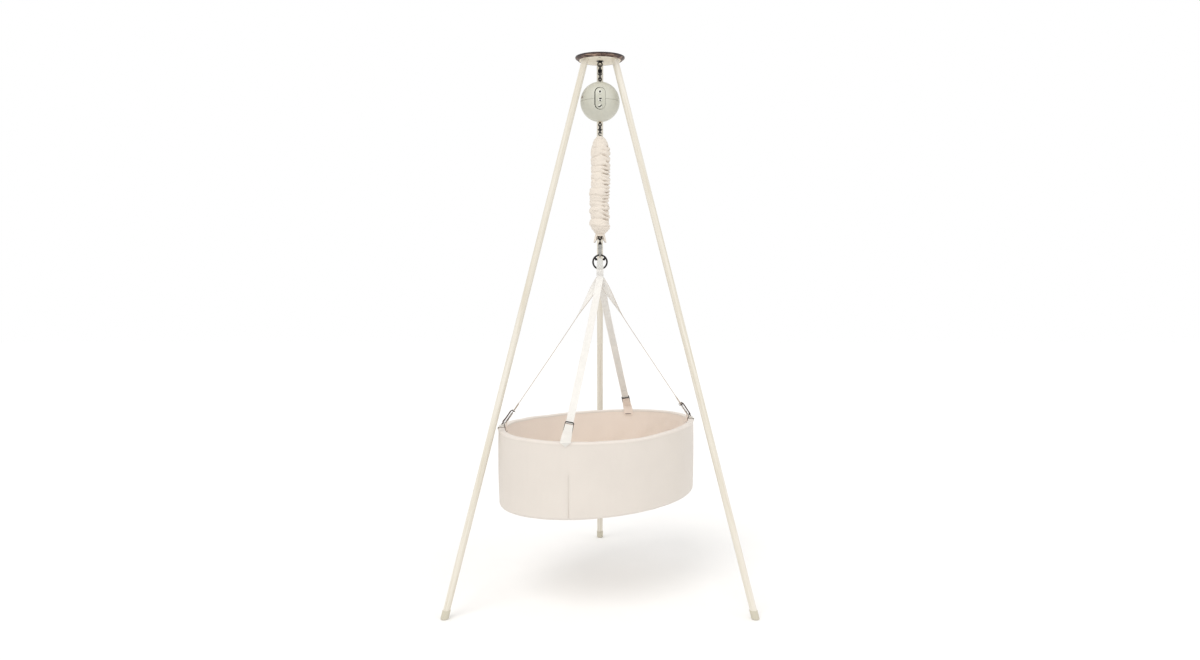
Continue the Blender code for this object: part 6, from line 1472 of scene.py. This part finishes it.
def make_tab(name, place):
    """Two layers of webbing that straddle the rim, with a pointed end outside and stitching."""
    along, side, out = strap_line(place)
    normal, across = place["normal"], place["along"]
    lean, sideways = -along.dot(normal) / along.z, along.dot(across) / along.z
    half_wall = WALL_TOTAL / 2 + BINDING_OVERHANG
    outer_face = half_wall + TAB_THICKNESS / 2 + GAP
    inner_face = half_wall + TAB_THICKNESS / 2 + TAB_INSIDE_CLEARANCE
    spread = BUCKLE_WIRE / 2 + GAP + TAB_THICKNESS / 2
    scale = math.hypot(1.0, lean)
    width = TAB_WIDTH / 2

    def beside(distance, which):
        climb = distance / math.hypot(1.0, lean, sideways)
        return which * spread / scale - lean * climb, climb + which * spread * lean / scale

    def point(x, y):
        return place["centre"] + normal * x + across * sideways * max(y, 0.0) + Vector((0, 0, y))

    def smoothed(path):
        points = [point(*p) for p in path]
        made = []
        for i, (b, c) in enumerate(zip(points, points[1:])):
            a, d = points[max(i - 1, 0)], points[min(i + 2, len(points) - 1)]
            for t in spaced(0, 1, 10)[:-1]:
                bend = (2 * a - 5 * b + 4 * c - d) * t**2 + (3 * b - a - 3 * c + d) * t**3
                made.append(0.5 * (2 * b + (c - a) * t + bend))
        return made + [points[-1]]

    outer = [
        (outer_face, -TIP_DROP), (outer_face, -0.0110), (outer_face, -0.0040),
        (half_wall + (outer_face - half_wall) * 0.6, 0.0014), beside(BUCKLE_LOW * 0.9, 1),
    ]
    inner = [
        (-inner_face, -INNER_DROP), (-inner_face, -0.0120), (-inner_face, -0.0040),
        (-inner_face, 0.0030), beside(BUCKLE_LOW * 1.2, -1),
    ]
    for path, which in ((outer, 1), (inner, -1)):
        path += [beside((BUCKLE_LOW + TAB_REACH) / 2, which), beside(TAB_REACH - 0.0030, which)]
        line = smoothed(path)
        stations, run = [], 0.0
        for i, spot in enumerate(line):
            before, after = neighbours(line, i)
            run += (spot - before).length
            half = width - 0.0036 * smooth(spot.z - RIM_HEIGHT, 0.0, TAB_REACH * 0.8)
            if path is outer:
                half *= min(1.0, 0.05 + run / TIP_LENGTH * 0.95)
                spot = spot + out * 0.0005 * math.sin(min(run / 0.03, 1.0) * math.pi)
            stations.append((spot, across, (after - before).normalized(), half))
        mesh = lifted(band(stations, TAB_THICKNESS))
        if path is outer:
            front = add("webbing_" + name, mesh, TAB_WEB, "cradle", name)
        else:
            # The inner layer takes the lighter copy of the lining: painted light.
            back = add("inner_" + name, mesh, INNER_TAB_PAINTED_LIGHT, "cradle", name)

    core = []
    for reach, inset in ((0.0, 0.0018), (0.35, 0.0012), (0.7, 0.0006), (1.0, 0.0002)):
        climb = 0.0012 + (BUCKLE_LOW * 0.78 - 0.0012) * reach
        left = (-half_wall + 0.0022) * (1 - reach) + (beside(climb, -1)[0] + 0.0010) * reach
        right = (half_wall - 0.0022) * (1 - reach) + (beside(climb, 1)[0] - 0.0010) * reach
        corners = (left, -1), (right, -1), (right, 1), (left, 1)
        core.append([point(x, climb) + across * w * (width - 0.0016 - inset) for x, w in corners])
    filler = bevelled(loft(core, caps=True, sharp=30), 0.0006, 2, 25)
    stuffing = add("core_" + name, lifted(filler), TAB_WEB, "cradle")

    face = place["centre"] + normal * (outer_face + TAB_THICKNESS / 2 + 0.0001)
    tip, shoulder = Vector((0, 0, 0.0026 - TIP_DROP)), Vector((0, 0, TIP_LENGTH - TIP_DROP + 0.0002))
    wing = across * (width - 0.0030)
    threads = stitched_line([face - wing + shoulder, face + tip, face + wing + shoulder], Vector())
    for which in (1, -1):
        low, high = point(*beside(0.0245, which)), point(*beside(0.0310, which))
        threads += stitched_line(
            box_corners(low, high, side * 0.0088), out * which * (TAB_THICKNESS / 2 + 0.0001)
        )
    add("stitches_" + name, lifted(join(*threads)), THREAD, "cradle")
    # A dark bar across the inner layer near its lower end, in the leather finish.
    middle = place["centre"] - normal * (inner_face + TAB_THICKNESS / 2 + 0.0003)
    middle += Vector((0, 0, 0.0045 - INNER_DROP))
    row = [middle + across * (width - 0.0050) * w for w in spaced(-1, 1, 10)]
    sizes = [0.0006 + 0.0006 * math.sin(math.pi * share) ** 0.3 for share in spaced(0, 1, 10)]
    add("dark_bar_" + name, lifted(tube(row, sizes, 12)), LEATHER, "cradle")


def box_corners(low, high, half_side):
    """A closed line round a sewn box, from its middle lines at two ends."""
    return [low - half_side, low + half_side, high + half_side, high - half_side, low - half_side]


def round_wire(diameter, step):
    return (diameter / 2 + GAP) / math.cos(math.radians(step / 2)) + STRAP_THICKNESS / 2


def strap_leg(place, bundle_y, side_sign):
    """Stations from the sewn flap round the buckle's top bar and up to the bundle."""
    along, side, out = strap_line(place)
    side = side * side_sign
    top_bar = buckle_point(place, BUCKLE_HIGH, 0.0)
    end = Vector((0, bundle_y, BUNDLE_LOW))
    loop = round_wire(BUCKLE_WIRE, 45.0)
    apart = out * ((STRAP_THICKNESS + GAP) / 2)
    flap, near = STRAP_FLAP_LENGTH, loop * 2.2
    stations = [(top_bar - apart + along * reach, side, -along) for reach in spaced(flap, near, 6)]
    for turn in spaced(0, math.pi, 16):
        c, s = math.cos(turn), math.sin(turn)
        stations.append((top_bar - out * loop * c - along * loop * s, side, out * s - along * c))
    stations += [(top_bar + apart + along * reach, side, along) for reach in spaced(near, flap, 6)]
    joined = top_bar + along * (flap + 0.008)
    stations.append((joined, side, along))
    length = (end - joined).length
    across = Vector((1, 0, 0))
    if across.dot(side) < -0.001 or (abs(across.dot(side)) <= 0.001 and side.y < 0):
        across = -across
    heading = (end - joined).normalized()
    for i in range(1, 12):
        stations.append((joined.lerp(end, (1 - STRAP_TWIST_LENGTH / length) * i / 12), side, heading))
    for share in spaced(0, 1, 48)[:-1]:
        left = STRAP_TWIST_LENGTH * (1 - share)
        stations.append((end.lerp(joined, left / length), side.slerp(across, smooth(share, 0, 1)), heading))
    stations.append((end, across, Vector((0, 0, 1))))
    return stations


def parted(mesh):
    """Lets each strap leave the bundle a little higher, as it does in the photo."""
    for vert in mesh.vertices:
        z = vert.co.z
        if z < BUNDLE_LOW:
            share = hump(z - BUNDLE_LOW, 0.075)
        else:
            share = smooth(RING_LOW_WIRE - 0.006 - z, 0.0, RING_LOW_WIRE - 0.006 - BUNDLE_LOW)
        vert.co.z += PART_RISE * share
    return mesh


def make_strap_pair(places, ends, order):
    """One closed band: up from its first buckle, through the ring and down to its second one."""
    name = "strap_" + "_".join(ends)
    first, second = (places[end] for end in ends)
    step = STRAP_THICKNESS + GAP
    bundle_y = STRAP_THICKNESS / 2 + GAP / 2 + order * step
    loop = round_wire(RING_WIRE, 30.0) + order * step
    half = STRAP_WIDTH / 2
    rise = RING_RADIUS - math.sqrt(RING_RADIUS**2 - half**2) + STRAP_SEAT_RISE
    saddle = Vector((0, 0, RING_LOW_WIRE + rise))
    pinch_low = RING_LOW_WIRE - STRAP_PINCH_LENGTH
    beside = RING_LOW_WIRE - RING_WIRE * 0.4
    up, down = Vector((0, 0, 1)), Vector((0, 0, -1))
    stations = strap_leg(first, -bundle_y, 1)
    across = stations[-1][1]
    for z in spaced(BUNDLE_LOW, pinch_low, 6)[1:]:
        stations.append((Vector((0, -bundle_y, z)), across, up))
    for share in spaced(0, 1, 8)[1:]:
        y = -bundle_y + (bundle_y - loop) * smooth(share, 0, 1)
        stations.append((Vector((0, y, pinch_low + (beside - pinch_low) * share)), across, up))
    for turn in spaced(180, 0, 24):
        c, s = math.cos(math.radians(turn)), math.sin(math.radians(turn))
        stations.append((saddle + Vector((0, loop * c, loop * s)), across, Vector((0, s, -c))))
    for share in spaced(0, 1, 8):
        y = loop + (bundle_y - loop) * smooth(share, 0, 1)
        stations.append((Vector((0, y, beside + (pinch_low - beside) * share)), across, down))
    for z in spaced(pinch_low, BUNDLE_LOW, 6)[1:-1]:
        stations.append((Vector((0, bundle_y, z)), across, down))
    falling = strap_leg(second, bundle_y, -1)
    sign = 1 if falling[-1][1].dot(across) > 0 else -1
    stations += [(spot, side * sign, -heading) for spot, side, heading in falling[::-1]]
    made = band([(*station, half) for station in stations], STRAP_THICKNESS)
    strap = add("webbing_" + name, parted(lifted(made)), WEB, "cradle", name)
    # The edge faces of this strap get the darker webbing: painted shade along its edges.
    if order == 0:
        strap.data.materials.append(EDGE_WEB_PAINTED_SHADE)
        for face in strap.data.polygons:
            if face.index % BAND_SIDES in (*range(8, 14), *range(22, 28)):
                face.material_index = 1

    threads = []
    for place in (first, second):
        _, side, out = strap_line(place)
        low, high = (buckle_point(place, BUCKLE_HIGH + up_by, 0.0) for up_by in (0.0085, 0.0270))
        half_side = side * (half - 0.0030)
        for which in (1, -1):
            lift = out * which * (STRAP_THICKNESS + GAP / 2 + 0.0001)
            threads += stitched_line([*box_corners(low, high, half_side), high + half_side], lift)
            threads += stitched_line([low + half_side, high - half_side], lift)
    add("stitches_" + name, lifted(join(*threads)), THREAD, "cradle")


def make_keeper():
    """A wrap of webbing over the straps inside the ring, narrower at its top."""
    depth, low, high = KEEPER_DEPTH, RING_LOW_WIRE + 0.0010, RING_HEIGHT + 0.0030
    line = [Vector((0, -depth, z)) for z in spaced(low, high, 8)[:-1]]
    line += arc((0, 0, high), depth, 180, 0, 24, "YZ")
    line += [Vector((0, depth, z)) for z in spaced(high, low, 8)[1:]]
    stations = []
    for i, spot in enumerate(line):
        before, after = neighbours(line, i)
        half = 0.0098 - 0.0042 * smooth(spot.z, high - 0.004, high + depth)
        half += 0.0004 * drift(spot.y * 160, spot.z * 160, 4.0)
        stations.append((spot, Vector((1, 0, 0)), (after - before).normalized(), half))
    # The keeper is painted greyer than the straps: painted shade inside the ring.
    keeper = add("keeper_wrap", band(stations, KEEPER_THICKNESS), KEEPER_PAINTED_SHADE_WEB, "cradle")


def make_cover_seams():
    """The closing seams of the cover at the front and at the back, as sunk lines of piping in a darker cloth
    that paints the shade of the seam grooves.
    """
    low, high = BASKET_BOTTOM + WALL_HEM_ROUND, RIM_HEIGHT - 0.088
    sizes = [0.0009 * min(1.0, 0.2 + (40 - i) / 8) for i in range(41)]
    lines = []
    for side in (-1, 1):
        there = [turn for turn in OVAL_TURNS if basket_point(turn, 0, 0).y * side >= 0]
        seam = min(there, key=lambda turn: abs(basket_point(turn, 0, 0).x - side * SEAM_X))
        path = [basket_point(seam, cover_change(seam, z)[0] - 0.0010, z) for z in spaced(low, high, 40)]
        lines.append(tube(path, sizes, 8))
    add("cover_seams", lifted(join(*lines)), SEAM_PAINTED_SHADE, "cradle")


def make_guard(name, place):
    """A leather guard on the outside of a side tab, rolled at its lower end."""
    along, side, out = strap_line(place)
    face = out * (BUCKLE_WIRE / 2 + GAP * 2 + TAB_THICKNESS + GUARD_PROUD)
    low, high = BUCKLE_LOW - 0.0070, BUCKLE_HIGH + 0.0020
    stations = []
    for share in spaced(0, 1, 24):
        spot = buckle_point(place, low + (high - low) * share, 0.0) + face
        spot -= out * 0.0044 * (smooth(share, 0.86, 1.0) + 1 - smooth(share, 0.0, 0.14))
        stations.append((spot, side, along, 0.0100 - 0.0020 * smooth(share, 0.8, 1.0)))
    start = buckle_point(place, low, 0.0) + face - out * 0.0034
    line = [start + side * 0.0108 * w for w in spaced(-1, 1, 12)]
    sizes = [0.0017 + 0.0017 * math.sin(math.pi * share) ** 0.4 for share in spaced(0, 1, 12)]
    guard = join(band(stations, GUARD_THICKNESS), tube(line, sizes, 24))
    add("guard_" + name, lifted(guard), LEATHER, "cradle")


def make_all():
    make_stand()
    make_hooks()
    make_drive()
    make_rod()
    make_spring()
    make_sleeve()
    make_links()
    places = rim_attachments()
    make_strap_pair(places, ("front", "rear"), 1)
    make_strap_pair(places, ("left", "right"), 0)
    make_keeper()
    make_basket()
    make_cover_seams()
    for name, place in places.items():
        make_buckle("buckle_" + name, place)
        make_tab("tab_" + name, place)
    for name in ("left", "right"):
        make_guard(name, places[name])


make_all()


# Studio

FLOOR_REACH = 9.0
FLOOR_LEVEL = -0.0004
CAMERA_PLACE = (0.0, -3.1861, 1.1299)
CAMERA_TILT = 0.0772
CAMERA_LENS = 27.16


def make_sun(name, location, turn, power, colour, angle):
    lamp = bpy.data.lights.new(name, "SUN")
    lamp.energy = power
    lamp.color = colour
    lamp.angle = math.radians(angle)
    obj = bpy.data.objects.new(name, lamp)
    obj.location = location
    obj.rotation_euler = [math.radians(t) for t in turn]
    bpy.context.scene.collection.objects.link(obj)


def make_world():
    """White to the camera and to mirrors, and a soft warm light for all the rest."""
    world = bpy.data.worlds.new("studio")
    world.use_nodes = True
    bpy.context.scene.world = world
    tree = world.node_tree
    tree.nodes.clear()
    out = tree.nodes.new("ShaderNodeOutputWorld")
    path = tree.nodes.new("ShaderNodeLightPath")
    mix = tree.nodes.new("ShaderNodeMixShader")
    seen = path.outputs["Is Camera Ray"]
    for kind in ("Is Glossy Ray", "Is Transmission Ray"):
        either = tree.nodes.new("ShaderNodeMath")
        either.operation = "MAXIMUM"
        tree.links.new(seen, either.inputs[0])
        tree.links.new(path.outputs[kind], either.inputs[1])
        seen = either.outputs[0]
    tree.links.new(seen, mix.inputs["Fac"])
    for slot, colour, strength in ((1, (1.0, 0.985, 0.965, 1.0), 0.80), (2, (1.0, 1.0, 1.0, 1.0), 1.0)):
        sky = tree.nodes.new("ShaderNodeBackground")
        sky.inputs["Color"].default_value = colour
        sky.inputs["Strength"].default_value = strength
        tree.links.new(sky.outputs[0], mix.inputs[slot])
    tree.links.new(mix.outputs[0], out.inputs["Surface"])


def make_floor():
    floor = bpy.data.meshes.new("floor")
    signs = (-1, -1), (1, -1), (1, 1), (-1, 1)
    corners = [(x * FLOOR_REACH, y * FLOOR_REACH, FLOOR_LEVEL) for x, y in signs]
    floor.from_pydata(corners, [], [(0, 1, 2, 3)])
    glow = {"Emission_Color": (1.0, 1.0, 1.0, 1.0), "Emission_Strength": 0.06}
    finish = Finish("floor_paper", (0.93, 0.93, 0.93), 0.95, Specular_IOR_Level=0.0, **glow)
    grain = finish.noise(finish.place((7, 7, 7)), 2.0)
    finish.colour(grain, (0.3, (0.925, 0.925, 0.925)), (0.7, (0.935, 0.935, 0.935)))
    floor.materials.append(finish.material)
    obj = bpy.data.objects.new("floor", floor)
    bpy.context.scene.collection.objects.link(obj)


def make_camera():
    camera = bpy.data.cameras.new("camera")
    camera.lens = CAMERA_LENS
    camera.sensor_fit = "HORIZONTAL"
    camera.sensor_width = 36.0
    camera.clip_start = 0.05
    camera.clip_end = 50.0
    obj = bpy.data.objects.new("camera", camera)
    obj.location = CAMERA_PLACE
    obj.rotation_euler = (math.pi / 2 - CAMERA_TILT, 0.0, 0.0)
    bpy.context.scene.collection.objects.link(obj)
    bpy.context.scene.camera = obj


make_world()
make_floor()
make_sun("key", (-2, -3, 4), (38, 0, -28), 0.95, (1.0, 0.985, 0.96), 34)
make_sun("fill", (3, -3, 3), (58, 0, 48), 0.38, (0.97, 0.985, 1.0), 60)
make_camera()
bpy.context.scene.view_settings.view_transform = "Standard"
